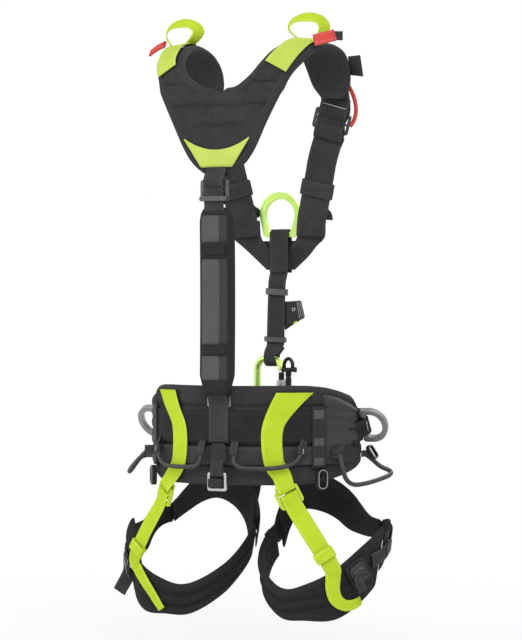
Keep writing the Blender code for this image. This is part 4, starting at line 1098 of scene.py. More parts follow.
def hoop(name, outline, width, thickness, place, finish, body="harness", nodes=(), columns=4):
    """A band of webbing or metal round a closed outline, with its width along local Z."""
    path = np.array(outline + outline[:1], dtype=float)
    length, dense = resample(np.hstack((path, np.zeros((len(path), 1)))), 0.0010)
    dense = dense[:-1, :2]
    ahead = np.roll(dense, -1, axis=0) - np.roll(dense, 1, axis=0)
    points, plan, edges = [], [], []
    for index, (x, y) in enumerate(dense):
        out = unit((ahead[index][1], -ahead[index][0], 0.0))
        for s, h in webbing_section(width, thickness, columns):
            spot = np.array((x, y, s)) + h * out
            points.append(place @ Vector(spot))
            plan.append((s + width / 2, length[index]))
            edges.append(width / 2 - abs(s))
    size = len(webbing_section(width, thickness, columns))
    mesh = make_mesh(name, points, loft_faces(len(dense), size, closed=True), plan, edges)
    return add_piece(name, mesh, finish, body, nodes)


def build_crescent():
    tip_x, tip_z = 0.048, 0.4038
    foot_x, foot_z = 0.023, 0.3640
    dip_z = 0.3877

    def place(u, v, lift):
        x = (2 * u - 1) * tip_x
        top = dip_z + (tip_z - dip_z) * (x / tip_x) ** 2
        share = max(0.0, (abs(x) - foot_x) / (tip_x - foot_x))
        bottom = foot_z + share * (tip_z - 0.002 - foot_z)
        return np.array((x, -0.1001 - lift, bottom + v * (top - bottom)))

    facing_sheet("yoke_crescent_detail", place, 40, 8, 0.0008, LIME_CLOTH, nodes=("yoke_crescent",),
                 corner=0.0)


def build_lanyard_loop(word, side):
    patch_u = 0.52
    patch_width = 0.033
    loop_width = 0.021
    lift = YOKE_PAD + 0.0025
    node_name = "lanyard_loop_" + word
    rows = []
    for v in np.linspace(0.47, 0.725, 8):
        rows.append(row(yoke(patch_u, v, lift), yoke_out(patch_u, v), patch_width))
    web(node_name, rows, LIME_PATCH, side)

    foot_v = 0.69
    inner = yoke(0.26, foot_v, lift + 0.0010)
    outer = yoke(0.78, foot_v, lift + 0.0010)
    top = 0.5705
    rows = [row(inner, unit((-1.0, -0.1, 0.1)), loop_width)]
    for across, height, facing in ((-0.38, 0.28, (-1.0, -0.3, -0.4)), (-0.52, 0.60, (-0.9, -0.5, 0.2)),
                                   (-0.16, 0.91, (-0.5, -0.6, 0.8)), (0.44, 1.0, (0.0, -0.65, 0.75)),
                                   (1.02, 0.91, (0.5, -0.6, 0.8)), (1.36, 0.62, (0.9, -0.5, 0.3)),
                                   (1.26, 0.28, (1.0, -0.3, -0.3))):
        point = inner + across * (outer - inner)
        point[2] += height * (top - point[2])
        rows.append(row(point, unit(facing), loop_width))
    rows.append(row(outer, unit((1.0, -0.1, 0.1)), loop_width))
    ribbon(node_name + "_arch", rows, LIME, side)


def build_shoulder_tabs():
    """Pull tabs of folded webbing on the shoulders, and a bare label at the front of the right one."""
    for name, side, finish, start, end, facing, width in (
            ("red_right", 1, RED, (0.1163, -0.0380, 0.5353), (0.1425, -0.0300, 0.5418), (0.20, -0.97, 0.08),
             0.0160),
            ("red_left", -1, RED, (0.1220, -0.0050, 0.5430), (0.1450, -0.0030, 0.5320), (0.39, -0.60, 0.70),
             0.0165),
            ("black_right", 1, BLACK, (0.1345, -0.0200, 0.5425), (0.1470, -0.0150, 0.5425),
             (0.20, -0.97, 0.08), 0.0125)):
        start, end, facing = np.array(start), np.array(end), unit(facing)
        for layer in (0, 1):
            base = 0.0018 * layer * facing
            middle = (start + end) / 2 + 0.0012 * facing
            rows = [row(point + base, facing, width - 0.0006 * layer) for point in (start, middle, end)]
            ribbon("tab_%s_%d" % (name, layer + 1), rows, finish, side, thickness=0.0016)
        rows = bend(end + 0.0017 * facing, -facing, unit(end - start), 0, 180, width, 0.0008)
        ribbon("tab_%s_end" % name, rows, finish, side, thickness=0.0012, step=0.0006)

    corners = np.array(((0.1290, 0.0520, 0.5220), (0.1438, 0.0600, 0.5240), (0.1485, 0.0620, 0.4942),
                        (0.1270, 0.0680, 0.4975)))

    def tag(u, v, lift):
        low = corners[3] + u * (corners[2] - corners[3])
        high = corners[0] + u * (corners[1] - corners[0])
        curl = 0.0020 * u * (1.0 - v)
        return low + v * (high - low) + np.array((0.0, -lift - curl, 0.0))

    label = facing_sheet("shoulder_label", tag, 8, 14, 0.0005, LABEL, corner=0.03)


def build_tool_loop():
    points = [(0.1150, 0.0905, 0.485), (0.1195, 0.0985, 0.469), (0.1210, 0.1020, 0.452),
              (0.1180, 0.1020, 0.438), (0.1130, 0.1000, 0.429)]
    path = smooth(points, 8)
    loop = tube("tool_loop_cord", path, 0.0028, RED, nodes=("tool_loop_right",))


def ladder_lock(node_name, width, height, place, finish, bar=0.003, side_bar=0.004, thickness=0.0026):
    """A flat buckle with three bars and two slots; local Y runs along the webbing."""
    gap = (height - 3 * bar) / 2
    middle = (bar + gap) / 2
    holes = [rounded(width - 2 * side_bar, gap, 0.0008, (0.0, sign * middle), 3) for sign in (1, -1)]
    return plate(node_name + "_detail", [rounded(width, height, 0.004, steps=6)] + holes, thickness, place,
                 finish, nodes=(node_name,), edge=0.0009)


def build_shoulder_strap(word, side):
    facing = unit((0.0, 1.0, 0.08))
    along = unit(np.array(KEEPER_END) - np.array(KEEPER_TOP))
    buckle = np.array(SHOULDER_BUCKLE)
    down = unit(np.array(KEEPER_TOP) - buckle)
    out = unit(facing - np.dot(facing, down) * down)
    rows = []
    for v in (0.90, 0.945):
        rows.append(row(yoke(0.5, v, YOKE_PAD + 0.0022), yoke_out(0.5, v), WIDE_WEB))
    for step, swing in ((-0.0200, 0.0034), (-0.0145, 0.0034), (-0.0105, 0.0030), (-0.0055, 0.0),
                        (0.0, -0.0034), (0.0055, 0.0), (0.0105, 0.0030), (0.0145, 0.0034), (0.0200, 0.0034)):
        rows.append(row(buckle + step * down + swing * out, out, WIDE_WEB))
    for share in (0.0, 0.33, 0.67, 1.0):
        point = np.array(KEEPER_TOP) + share * (np.array(KEEPER_END) - np.array(KEEPER_TOP))
        rows.append(row(point, facing, WIDE_WEB))
    rows.append(row((0.0508, 0.1050, 0.276), facing, WIDE_WEB))
    web("shoulder_strap_" + word, rows, BLACK, side, base=-0.0010)

    fold = ((-0.0345, 0.0012), (-0.0280, 0.0030), (-0.0180, 0.0034), (-0.0110, 0.0036), (-0.0062, 0.0028),
            (-0.0042, 0.0014))
    for name, turn in (("upper", 1), ("lower", -1)):
        rows = [row(buckle + turn * (step if turn > 0 else 0.75 * step) * down - swing * out, -out, 0.0430)
                for step, swing in fold[::turn]]
        ribbon("shoulder_fold_" + name + "_" + word, rows, BLACK, side, thickness=0.0016)
    across = np.cross(out, down)
    seam = buckle - 0.0220 * down - 0.0051 * out
    stitch_row("shoulder_stitches_" + word, seam - 0.018 * across, seam + 0.018 * across, -out, 13, side)

    rows = [row(buckle + step * down + swing * out, out, 0.040)
            for step, swing in ((0.0200, 0.0125), (0.0270, 0.0105), (0.0360, 0.0055), (0.0460, 0.0018))]
    for share, gap, shift in ((0.12, 0.0011, 0.0), (0.40, 0.0010, 0.0), (0.66, 0.0010, 0.0),
                              (0.80, 0.0010, 0.0), (0.85, 0.0016, 0.0005), (0.91, 0.0075, 0.0035),
                              (0.96, 0.0125, 0.0050), (1.00, 0.0150, 0.0055)):
        point = np.array(KEEPER_TOP) + share * (np.array(KEEPER_END) - np.array(KEEPER_TOP))
        rows.append(row(point + gap * facing + (side * shift, 0.0, 0.0), facing, 0.0385))
    ribbon("shoulder_tail_" + word, rows, BLACK, side, thickness=0.0011)
    hem = [row(np.array(place[:3]) + 0.0013 * facing, facing, 0.040) for place in rows[-3:]]
    ribbon("shoulder_hem_" + word, hem, BLACK, side, thickness=0.0022)

    place = axes(mirrored(buckle, side), mirrored(across, side), mirrored(out, side))
    ladder_lock("shoulder_buckle_" + word, 0.055, 0.029, place, DARK_ALLOY)

    middle = (np.array(KEEPER_TOP) + np.array(KEEPER_END)) / 2
    across = np.cross(facing, along)
    place = axes(mirrored(middle, side), mirrored(across, side), mirrored(along, side))
    hoop("strap_keeper_" + word + "_detail", rounded(0.0466, 0.0052, 0.0020, steps=4), 0.022, 0.0014, place,
         BLACK, "strap_keeper_" + word, ("strap_keeper_" + word,))


# Chest

def build_chest():
    for word, side in SIDES:
        layer_y = 0.1178 if side > 0 else 0.1146
        rows = [row((0.0505, 0.1092, 0.300), FORWARD, 0.042), row((0.0490, 0.1095, 0.2760), FORWARD, 0.0430),
                row((0.0380, 0.1115, 0.2630), FORWARD, 0.0390),
                row((0.0265, layer_y, 0.2500), FORWARD, 0.0340),
                row((0.0130, layer_y, 0.2300), FORWARD, 0.0160)]
        web("chest_web_" + word, rows, BLACK, side, level=5)
        rows = [row((x, layer_y + 0.0024, z), FORWARD, width) for x, z, width in (
            (0.0215, 0.2712, 0.0150), (0.0205, 0.2620, 0.0150), (0.0170, 0.2500, 0.0130),
            (0.0120, 0.2360, 0.0100))]
        ribbon("chest_fold_" + word, rows, BLACK, side, level=4, thickness=0.0014)

    top, foot, drop, stock = 0.0305, 0.0252, 0.0335, 0.0075
    centre = drop - stock / 2

    def horseshoe(inset):
        radius = top - inset
        half = foot - inset
        low = centre - drop + inset
        corner = 0.006 - inset * 0.4
        points = arc((0.0, centre - 0.28 * inset), radius, radius, -12, 192, 36)
        points += arc((-half + corner, low + corner), corner, corner, 180, 270, 6)
        points += arc((half - corner, low + corner), corner, corner, 270, 360, 6)
        return points

    place = axes(STERNAL_BAR, (1.0, 0.0, 0.0), BACKWARD)
    plate("sternal_ring_detail", [horseshoe(0.0), horseshoe(stock)], 0.0090, place, LIME_ALLOY,
          "sternal_ring", ("sternal_ring",), edge=0.0034, segments=4)

    width = 0.0285
    rows = [row((0.0, 0.1225, 0.226), FORWARD, width), row((0.0, 0.1225, 0.262), FORWARD, width)]
    rows += bend(STERNAL_BAR, FORWARD, UP, 0, 180, width, 0.0060)
    rows += [row((0.0, 0.1105, 0.262), BACKWARD, width), row((0.0, 0.1105, 0.226), BACKWARD, width)]
    web("chest_loop", rows, BLACK)


def build_front_strap():
    loop_width = 0.017
    loop_x = CARABINER_TOP[0] + 0.004
    bend_radius = 0.0088
    bar = (loop_x, CARABINER_TOP[1] - 0.0010, CARABINER_TOP[2])
    rows = [row((0.0, 0.1133, 0.238), BACKWARD, NARROW_WEB),
            row((-0.001, 0.1131, 0.225), BACKWARD, NARROW_WEB)]
    for share in (0.0, 0.33, 0.67, 1.0):
        rows.append(row(front_point(share), BACKWARD, NARROW_WEB))
    rows.append(row((loop_x + 0.001, bar[1] - bend_radius, 0.112), BACKWARD, loop_width))
    rows += bend(bar, BACKWARD, -UP, 0, 180, loop_width, bend_radius)
    rows += [row((loop_x + 0.001, bar[1] + bend_radius, 0.112), FORWARD, loop_width),
             row((FRONT_END[0], 0.1260, 0.124), FORWARD, 0.024)]
    web("front_strap", rows, BLACK)

    along = unit(np.array(FRONT_END) - np.array(FRONT_TOP))
    for word, share, height in (("upper", SLIDER_UPPER, 0.0088), ("lower", SLIDER_LOWER, 0.0070)):
        middle = front_point(share) + 0.5 * WEB * BACKWARD
        place = axes(middle, (1.0, 0.0, 0.0), along)
        name = "front_slider_" + word
        plate(name + "_detail",
              [rounded(0.0335, 0.0078, 0.0030, steps=6), rounded(0.0290, 0.0040, 0.0010, steps=4)], height,
              place, DARK_ALLOY, name, (name,), edge=0.0009)

    build_inspection_tag()


def build_inspection_tag():
    corners = np.array(((0.0050, 0.1155, 0.1848), (0.0325, 0.1130, 0.1862), (0.0385, 0.1130, 0.1625),
                        (0.0055, 0.1180, 0.1440)))

    def tag(u, v, lift):
        low = corners[3] + u * (corners[2] - corners[3])
        high = corners[0] + u * (corners[1] - corners[0])
        curl = 0.0016 * math.sin(math.pi * u) * (1.0 - v)
        return low + v * (high - low) + np.array((0.0, -lift - curl, 0.0))

    label = facing_sheet("inspection_tag_detail", tag, 12, 16, 0.0006, LABEL, nodes=("inspection_tag",),
                         corner=0.03)
    for index, u in enumerate((0.96, 0.87, 0.78)):
        rows = [row(tag(u, v, 0.0007), BACKWARD, 0.0010) for v in (0.94, 0.5, 0.06)]
        ribbon("tag_stripe_%d" % (index + 1), rows, REFLECTIVE, thickness=0.0003, columns=2)
    eye = tag(0.55, 0.62, 0.0008)
    ring = [eye + (x, 0.0, z) for x, z in arc((0.0, 0.0), 0.0021, 0.0021, 0, 345, 23)]
    tube("tag_eyelet", ring, 0.0006, STEEL, ring=8, closed=True)
    rows = [row(tag(u, 0.03, 0.0007), BACKWARD, 0.0022) for u in (0.48, 0.56, 0.64)]
    ribbon("tag_corner", rows, LIME, thickness=0.0004, columns=2)


def build_carabiner():
    half = CARABINER_WIDTH / 2
    bend_top, bend_low = 0.016, 0.020
    path = [(half, GATE_HIGH + 0.0020)]
    path += arc((half - bend_top, -bend_top), bend_top, bend_top, 0, 90, 12)
    path += arc((-half + bend_top, -bend_top), bend_top, bend_top, 90, 180, 12)
    straight = CARABINER_HEIGHT - bend_top - bend_low
    path += [(-half, -bend_top - share * straight) for share in (0.25, 0.5, 0.75)]
    path += arc((-half + bend_low, -CARABINER_HEIGHT + bend_low), bend_low, bend_low, 180, 270, 12)
    path += arc((half - bend_low, -CARABINER_HEIGHT + bend_low), bend_low, bend_low, 270, 345, 12)
    points = [carabiner_place(*point) for point in path]
    body = tube("carabiner_body_detail", points, CARABINER_BAR, LIME_ALLOY, body="carabiner",
                nodes=("carabiner_body",), ring=20)

    plane_across = carabiner_place(1, 0) - carabiner_place(0, 0)
    plane_out = np.cross(plane_across, UP)
    hinge = carabiner_place(half, GATE_LOW)
    ear = 0.0012
    for word, sign in (("front", 1), ("back", -1)):
        middle = hinge + sign * (GATE_RADIUS + 0.0002 + ear / 2) * plane_out - 0.0045 * UP
        plate("carabiner_fork_" + word, [rounded(0.0064, 0.0150, 0.0030, steps=6)], ear,
              axes(middle, plane_across, plane_out), LIME_ALLOY, "carabiner", edge=0.0004)

    def gate_shape(share):
        return 1.0 - 0.18 * max(0.0, (share - 0.94) / 0.06) ** 2 - 0.18 * max(0.0, (0.05 - share) / 0.05) ** 2

    gate_points = [carabiner_place(half, up) for up in np.linspace(GATE_LOW - 0.0020, GATE_HIGH, 40)]
    tube("carabiner_gate_detail", gate_points, GATE_RADIUS, BLACK_ALLOY, body="carabiner_gate",
         nodes=("carabiner_gate",), ring=20, shape=gate_shape)
    reach = (GATE_RADIUS + 0.0016) * plane_out
    pin_points = [hinge + share * reach for share in np.linspace(-1.0, 1.0, 13)]
    tube("carabiner_pin_detail", pin_points, 0.0015, STEEL, body="carabiner", nodes=("carabiner_pin",),
         shape=lambda share: math.sqrt(max(0.05, 1.0 - (2 * abs(share - 0.5)) ** 8)))
    low, high = GATE_LOW + 0.0080, GATE_LOW + 0.0330
    place = axes(carabiner_place(half, (low + high) / 2), plane_out, UP)
    grips = []
    for index in range(96):
        radius = 0.0071 - 0.0005 * (0.5 + 0.5 * math.cos(2 * math.pi * index / 4))
        turn = 2 * math.pi * index / 96
        grips.append((radius * math.cos(turn), radius * math.sin(turn)))
    bore = arc((0.0, 0.0), GATE_RADIUS + 0.0004, GATE_RADIUS + 0.0004, 0, 354, 59)
    plate("carabiner_sleeve_detail", [grips, bore], high - low, place, STEEL, "carabiner_sleeve",
          ("carabiner_sleeve",), edge=0.0008, segments=2)
    return body


def build_shackle():
    middle = np.array((0.0190, 0.1000, 0.0885))
    half = 0.0065
    bow = [middle + (-half, 0.0, 0.0)]
    for angle in np.linspace(math.pi, 0.0, 17):
        bow.append(middle + (half * math.cos(angle), 0.0, 0.006 + 0.0095 * math.sin(angle)))
    bow.append(middle + (half, 0.0, 0.0))
    tube("bridge_shackle_bow", bow, 0.0026, BLACK_ALLOY, nodes=("bridge_shackle",))

    def knobs(share):
        return 1.0 + 0.28 * (line_share(share - 0.06, 0.07) + line_share(share - 0.93, 0.08))

    pin = [middle + (x, 0.0, 0.0) for x in np.linspace(-0.0095, 0.0120, 30)]
    tube("bridge_shackle_pin", pin, 0.0031, BLACK_ALLOY, shape=knobs)
    stem = [middle + (0.0, 0.0, z) for z in np.linspace(-0.0765, 0.0010, 40)]
    tube("bridge_shackle_stem", stem, 0.0044, BLACK_ALLOY,
         shape=lambda share: 1.0 - 0.22 * line_share(share - 0.86, 0.02))


# Back

def build_back():
    buckle = np.array(REAR_BUCKLE)
    bar, height = 0.003, 0.029
    top_bar = buckle + (height - bar) / 2 * UP
    ladder_lock("rear_buckle", 0.041, height, axes(buckle, (1.0, 0.0, 0.0), BACKWARD), DARK_ALLOY)

    lip = axes(buckle + (0.0, -0.0053, -0.0112), (1.0, 0.0, 0.0), BACKWARD)
    plate("rear_buckle_lip", [rounded(0.0405, 0.0072, 0.0032, steps=6)], 0.0026, lip, DARK_ALLOY, edge=0.0009)

    width = REAR_WEB
    rows = [row((0.0, -0.1000, 0.3630), BACKWARD, width), row((0.0, -0.1020, 0.3560), BACKWARD, width)]
    rows += bend(top_bar, BACKWARD, -UP, 0, 180, width)
    rows += [row((0.0, top_bar[1] + BAR_BEND, 0.3475), FORWARD, width)]
    web("rear_strap_upper", rows, BLACK)
    for word, roll in (("upper", ((-0.1040, 0.3560), (-0.1085, 0.3500), (-0.1105, 0.3440), (-0.1095, 0.3380),
                                  (-0.1062, 0.3362))),
                       ("lower",
                        ((-0.1050, 0.3310), (-0.1085, 0.3280), (-0.1090, 0.3245), (-0.1070, 0.3215)))):
        ribbon("rear_roll_" + word, [row((0.0, y, z), BACKWARD, width) for y, z in roll], BLACK,
               thickness=0.0016)

    rows = [row((0.0, buckle[1] + BAR_BEND, 0.3140), FORWARD, width)]
    rows += bend(buckle, FORWARD, UP, 0, 180, width)
    rows += [row((0.0, -0.1075, 0.318), BACKWARD, width), row((0.0, -0.1062, 0.300), BACKWARD, width),
             row((0.0, -0.1045, 0.240), BACKWARD, width), row((0.0, -0.1045, 0.150), BACKWARD, width),
             row((0.0, -0.1045, 0.090), BACKWARD, width), row((0.0, -0.1010, 0.064), BACKWARD, width)]
    rows += [on_belt(0.0, z, BELT_OVER_LIFT, width) for z in (0.045, 0.020, -0.006)]
    web("rear_strap", rows, BLACK, thickness=0.0017)

    width, bend_radius = 0.018, 0.0030
    bar = np.array(RESTRAINT_BAR)
    rows = [row(bar + (0.0, bend_radius, 0.0105), FORWARD, width)]
    rows += bend(bar, FORWARD, -UP, 0, 180, width, bend_radius)
    rows += [row(bar + (0.0, -bend_radius, 0.0080), BACKWARD, width)]
    rows += [on_belt(0.0, z, BELT_OVER_LIFT, width) for z in (-0.026, -0.0075)]
    web("restraint_patch", rows, BLACK, thickness=0.0016)

    middle = (0.0, -0.0108)
    place = axes(RESTRAINT_BAR, (1.0, 0.0, 0.0), BACKWARD)
    plate("restraint_ring_detail",
          [rounded(0.0280, 0.0250, 0.0030, middle, 6), rounded(0.0212, 0.0182, 0.0015, middle, 4)], 0.0030,
          place, STEEL, "restraint_ring", ("restraint_ring",), edge=0.0012)

    def flap(u, v, lift):
        return np.array((-0.0125 + 0.0205 * u, -0.1003 - lift, -0.0668 + 0.0120 * v))

    facing_sheet("restraint_label", flap, 10, 8, 0.0006, LABEL, body="restraint_ring", corner=0.05)

    def block(u, v, lift):
        return belt_spot(0.0130 * (2 * u - 1), -0.0355 + 0.0255 * v, BELT_OVER_LIFT + 0.0024 + lift)

    facing_sheet("restraint_block", block, 10, 10, 0.0008, LABEL, corner=0.03)
    slot = belt_spot(0.0, 0.0490, BELT_WEB_LIFT + 0.0004)
    plate("rear_slot", [rounded(0.0345, 0.0160, 0.0030, steps=5), rounded(0.0270, 0.0085, 0.0010, steps=3)],
          0.0014, axes(slot, (1.0, 0.0, 0.0), BACKWARD), GREY_ALLOY, edge=0.0005)


# Waist belt

def build_belt():
    rows = []
    for angle in np.arange(-148.0, WAIST_BUCKLE_ANGLE - 7.0, 6.0):
        rows.append(row(waist(angle, BELT_WEB_Z, BELT_WEB_LIFT), waist_out(angle), WIDE_WEB))
    web("waist_webbing", rows, BELT_BLACK, thickness=0.0018)

    buckle = waist(WAIST_BUCKLE_ANGLE, BELT_WEB_Z, BELT_WEB_LIFT + 0.0035)
    ladder_lock("waist_buckle", 0.056, 0.030, axes(buckle, UP, waist_out(WAIST_BUCKLE_ANGLE)), GREY_ALLOY)

    rows = []
    for angle in np.arange(-72.0, 73.0, 6.0):
        rows.append(row(waist(angle, GEAR_BAND_Z, BELT_WEB_LIFT), waist_out(angle), GEAR_BAND_WIDTH))
    web("gear_band", rows, BLACK, thickness=0.0018)

    for word, side in SIDES:
        build_suspension_strap(word, side)
        build_d_ring(word, side)
        build_gear_loops(word, side)
        build_belt_wing(word, side)


WING_ENDS = (57.0, 85.0)
WING_ANGLES = (47.0, 57.0, 67.0, 79.0, 85.0)
WING_LINES = ((0.0600, 0.0590, 0.0545, 0.0440, 0.0380), (0.0440, 0.0405, 0.0370, 0.0335, 0.0290),
              (0.0255, 0.0265, 0.0245, 0.0190, 0.0170), (0.0000, 0.0070, 0.0095, 0.0105, 0.0080),
              (-0.0215, -0.0180, -0.0155, -0.0110, -0.0070))
WING_LIFT = BELT_WEB_LIFT + 0.0044


def build_belt_wing(word, side):
    """Cover over each belt side with soft seams that gather at the ring, a dark strip, and three lighter
    patches of painted highlight on that strip.
    """

    def wing(u, v, raised):
        angle = WING_ENDS[0] + u * (WING_ENDS[1] - WING_ENDS[0])
        lines = [np.interp(angle, WING_ANGLES, line) for line in WING_LINES]
        z = lines[-1] + v * (lines[0] - lines[-1])
        to_rim = min(z - lines[-1], lines[0] - z, (WING_ENDS[1] - angle) * 0.0025,
                     (angle - WING_ENDS[0]) * 0.0025)
        to_seam = min(abs(z - line) for line in lines[1:-1])
        low = BELT_PAD - 0.0006
        lift = low + (WING_LIFT - low) * rise(to_rim, 0.009) - 0.0021 * line_share(to_seam, 0.0026)
        return waist(angle, z, lift + raised)

    facing_sheet("belt_wing_" + word, wing, 24, 44, 0.0004, PANEL, side, corner=0.0)

    def strip(low, high, start, end, crown, lift):
        def place(u, v, raised):
            swell = crown * math.sin(math.pi * v) ** 0.7 * rise(min(u, 1.0 - u), 0.12)
            return waist(start + u * (end - start), low + v * (high - low), lift + raised + swell)
        return place

    column = strip(-0.0410, 0.0425, 49.8, 58.3, 0.0006, WING_LIFT - 0.0010)
    facing_sheet("belt_column_" + word, column, 10, 30, 0.0004, LABEL, side, corner=0.0)
    # Three lighter grey patches over the dark strip: painted highlight for the sheen where the shiny strip
    # catches the light
    for index, (low, high) in enumerate(((0.0250, 0.0375), (-0.0112, -0.0004), (-0.0374, -0.0268))):
        highlight_patch = strip(low, high, 50.6, 56.8, 0.0012, WING_LIFT + 0.0002)
        facing_sheet("belt_window_%d_%s" % (index + 1, word), highlight_patch, 8, 8, 0.0004, FACING, side, corner=0.03)


def build_suspension_strap(word, side):
    rows = [on_belt(x, z, BELT_OVER_LIFT, width) for x, z, width in SUSPENSION_LINE[word]]
    middle, down, out = adjuster_frame()
    bar = middle - (ADJUSTER_HEIGHT - 0.003) / 2 * down
    rows += bend(bar, out, down, 0, 180, 0.025)
    rows.append(row(bar - BAR_BEND * out - 0.006 * down, -out, 0.025))
    web("suspension_strap_" + word, rows, LIME, side, level=4)

    place = axes(mirrored(middle, side), mirrored(np.cross(out, down), side), mirrored(out, side))
    ladder_lock("leg_adjuster_" + word, 0.034, ADJUSTER_HEIGHT, place, LIME_PLASTIC, thickness=0.0042)


def build_d_ring(word, side):
    half, depth, stock = 0.0265, 0.033, 0.0075
    flat = 0.010

    def outline(inset):
        corner = 0.004
        points = arc((-stock / 2 + inset + corner, half - inset - corner), corner, corner, 90, 180, 5)
        points += arc((-stock / 2 + inset + corner, -half + inset + corner), corner, corner, 180, 270, 5)
        return points + arc((flat, 0.0), depth - flat - inset, half - inset, -90, 90, 28)

    lean = math.radians(D_RING_LEAN)
    bar = waist(D_RING_ANGLE, BELT_WEB_Z, D_RING_LIFT)
    out = unit((math.cos(math.radians(7)), math.sin(math.radians(7)), 0.0))
    bar_up = math.cos(lean) * UP - math.sin(lean) * np.cross(UP, out)
    place = axes(mirrored(bar, side), mirrored(out, side), mirrored(np.cross(out, bar_up), side))
    name = "d_ring_" + word
    plate(name + "_detail", [outline(0.0), outline(stock)], 0.0075, place, GREY_ALLOY, name, (name,),
          edge=0.0030, segments=4)

    rows = []
    travel = math.cos(lean) * waist_along(D_RING_ANGLE) + math.sin(lean) * UP
    normal = waist_out(D_RING_ANGLE)
    for angle, climb, width in ((D_RING_ANGLE - 11, -0.0163, 0.028), (D_RING_ANGLE - 6.5, -0.0096, 0.027)):
        rows.append(row(waist(angle, BELT_WEB_Z + climb, BELT_OVER_LIFT), waist_out(angle), width))
    rows += bend(bar, -travel, normal, 25, 155, 0.025, 0.0060)
    for angle, climb, width in ((D_RING_ANGLE + 8, 0.0045, 0.027), (D_RING_ANGLE + 14, 0.0080, 0.028)):
        rows.append(row(waist(angle, BELT_WEB_Z + climb, BELT_OVER_LIFT), waist_out(angle), width))
    web("d_ring_sleeve_" + word, rows, BELT_BLACK, side, thickness=0.0016)
    seam = bar - 0.0045 * travel + 0.0060 * normal
    stitch_row("d_ring_stitches_" + word, seam - 0.0095 * bar_up, seam + 0.0095 * bar_up, normal, 7, side,
               size=0.0006)


def belt_spot(x, z, lift):
    return np.array(on_belt(x, z, lift, 0.0)[:3])


def side_loop_path(word):
    """Side gear loop as it hangs, swung outwards about the line between its ends."""
    path = np.array(SIDE_LOOP)
    turn = Matrix.Rotation(math.radians(SIDE_LOOP_SWING[word]), 3, Vector(path[0] - path[-1]))
    return [path[0] + np.array(turn @ Vector(point - path[0])) for point in path]


def build_gear_loops(word, side):
    points = [belt_spot(*spot) for spot in (
        (0.0245, -0.0140, 0.0168), (0.0245, -0.0230, 0.0190), (0.0260, -0.0330, 0.0215),
        (0.0340, -0.0385, 0.0220), (0.0520, -0.0400, 0.0220), (0.0750, -0.0400, 0.0225),
        (0.0920, -0.0370, 0.0220), (0.1030, -0.0300, 0.0205), (0.1070, -0.0200, 0.0185),
        (0.1085, -0.0130, 0.0168))]
    rear = "rear_gear_loop_" + word
    tube(rear + "_detail", smooth(points, 8), 0.0030, BLACK_PLASTIC, side, nodes=(rear,))
    for index, (x, z) in enumerate(((0.0245, -0.0140), (0.1085, -0.0130))):
        rows = [on_belt(x, z + up, lift, 0.0105) for up, lift in (
            (0.0100, 0.0139), (0.0045, 0.0172), (0.0, 0.0202), (-0.0050, 0.0212), (-0.0085, 0.0214))]
        ribbon("rear_tab_%d_%s" % (index + 1, word), rows, BLACK, side, thickness=0.0012)
        seam = [belt_spot(x + 0.0025, z + up, lift) for up, lift in ((-0.0010, 0.0218), (-0.0080, 0.0229))]
        if index:
            stitch_row("rear_tab_stitches_" + word, *seam, waist_out(45.0), 4, side)
    for end_name, z, width, tab in (
            ("rear", -0.0220, 0.0125,
             ((62.0, 0.0139), (63.3, 0.0195), (64.7, 0.0252), (66.1, 0.0195), (67.4, 0.0139))),
            ("front", -0.0250, 0.0085,
             ((90.0, 0.0128), (93.5, 0.0155), (97.0, 0.0195), (100.5, 0.0155), (103.5, 0.0128)))):
        rows = [row(waist(angle, z, lift), waist_out(angle), width) for angle, lift in tab]
        ribbon("side_tab_" + end_name + "_" + word, rows, BLACK, side, thickness=0.0013)
    build_small_loops(word, side)
    loop = "side_gear_loop_" + word
    tube(loop + "_detail", smooth(side_loop_path(word), 8), SIDE_LOOP_TUBE, BLACK_PLASTIC, side, loop,
         (loop,))


def build_small_loops(word, side):
    """Two accessory loops of narrow webbing with bright edges: under the belt, and at its front end."""
    front_top, front_low = np.array((0.1560, 0.0565, -0.0155)), np.array((0.1690, 0.0605, -0.0300))
    for name, body, middle, along, facing, length, width in (
            ("low", "harness", waist(55.2, -0.0560, 0.0165), UP, waist_out(55.2), 0.0250, 0.0130),
            ("front", "side_gear_loop_" + word, (front_top + front_low) / 2, front_top - front_low,
             (0.85, -0.45, 0.25), 0.0190, 0.0075)):
        place = axes(mirrored(middle, side), mirrored(along, side), mirrored(facing, side))
        outline = rounded(length, width, 0.48 * width, steps=8)
        hoop("accessory_loop_" + name + "_" + word, outline, 0.0070, 0.0013, place, LABEL, body)
        rim = [np.array(place @ Vector((x, y, 0.0036))) for x, y in outline]
        tube("accessory_edge_" + name + "_" + word, rim, 0.0007, REFLECTIVE, body=body, ring=8, closed=True)


def build_ventral_loop():
    width = 0.018
    x = CARABINER_TOP[0] + 0.004
    back, front, low, high = 0.1030, 0.1370, -0.0290, 0.0430
    curve = 0.008
    rows = [row((x, back, 0.006), BACKWARD, width), row((x, back, low + 0.018), BACKWARD, width)]
    rows += bend((x, back + curve, low + curve), BACKWARD, -UP, 0, 90, width, curve, 3)
    rows += bend((x, front - curve, low + curve), FORWARD, -UP, 90, 0, width, curve, 3)
    rows += bend((x, front - curve, high - curve), FORWARD, UP, 0, 90, width, curve, 3)
    rows += bend((x, back + curve, high - curve), BACKWARD, UP, 90, 0, width, curve, 3)
    rows.append(row((x, back, 0.0075), BACKWARD, width))
    web("ventral_loop", rows, BLACK, thickness=0.0016)


# Leg loops

def leg_web_rise(word, turn):
    """Height of the leg webbing over the middle line of the loop."""
    share = rise(min(turn - 105.0, 268.0 - turn), 30.0)
    low, high = leg_front_edges(word, turn)
    return share * ((low + high) / 2 - leg_middle(turn)) + LEG_BUCKLE_RISE * (1.0 - rise(turn - 66.0, 45.0))


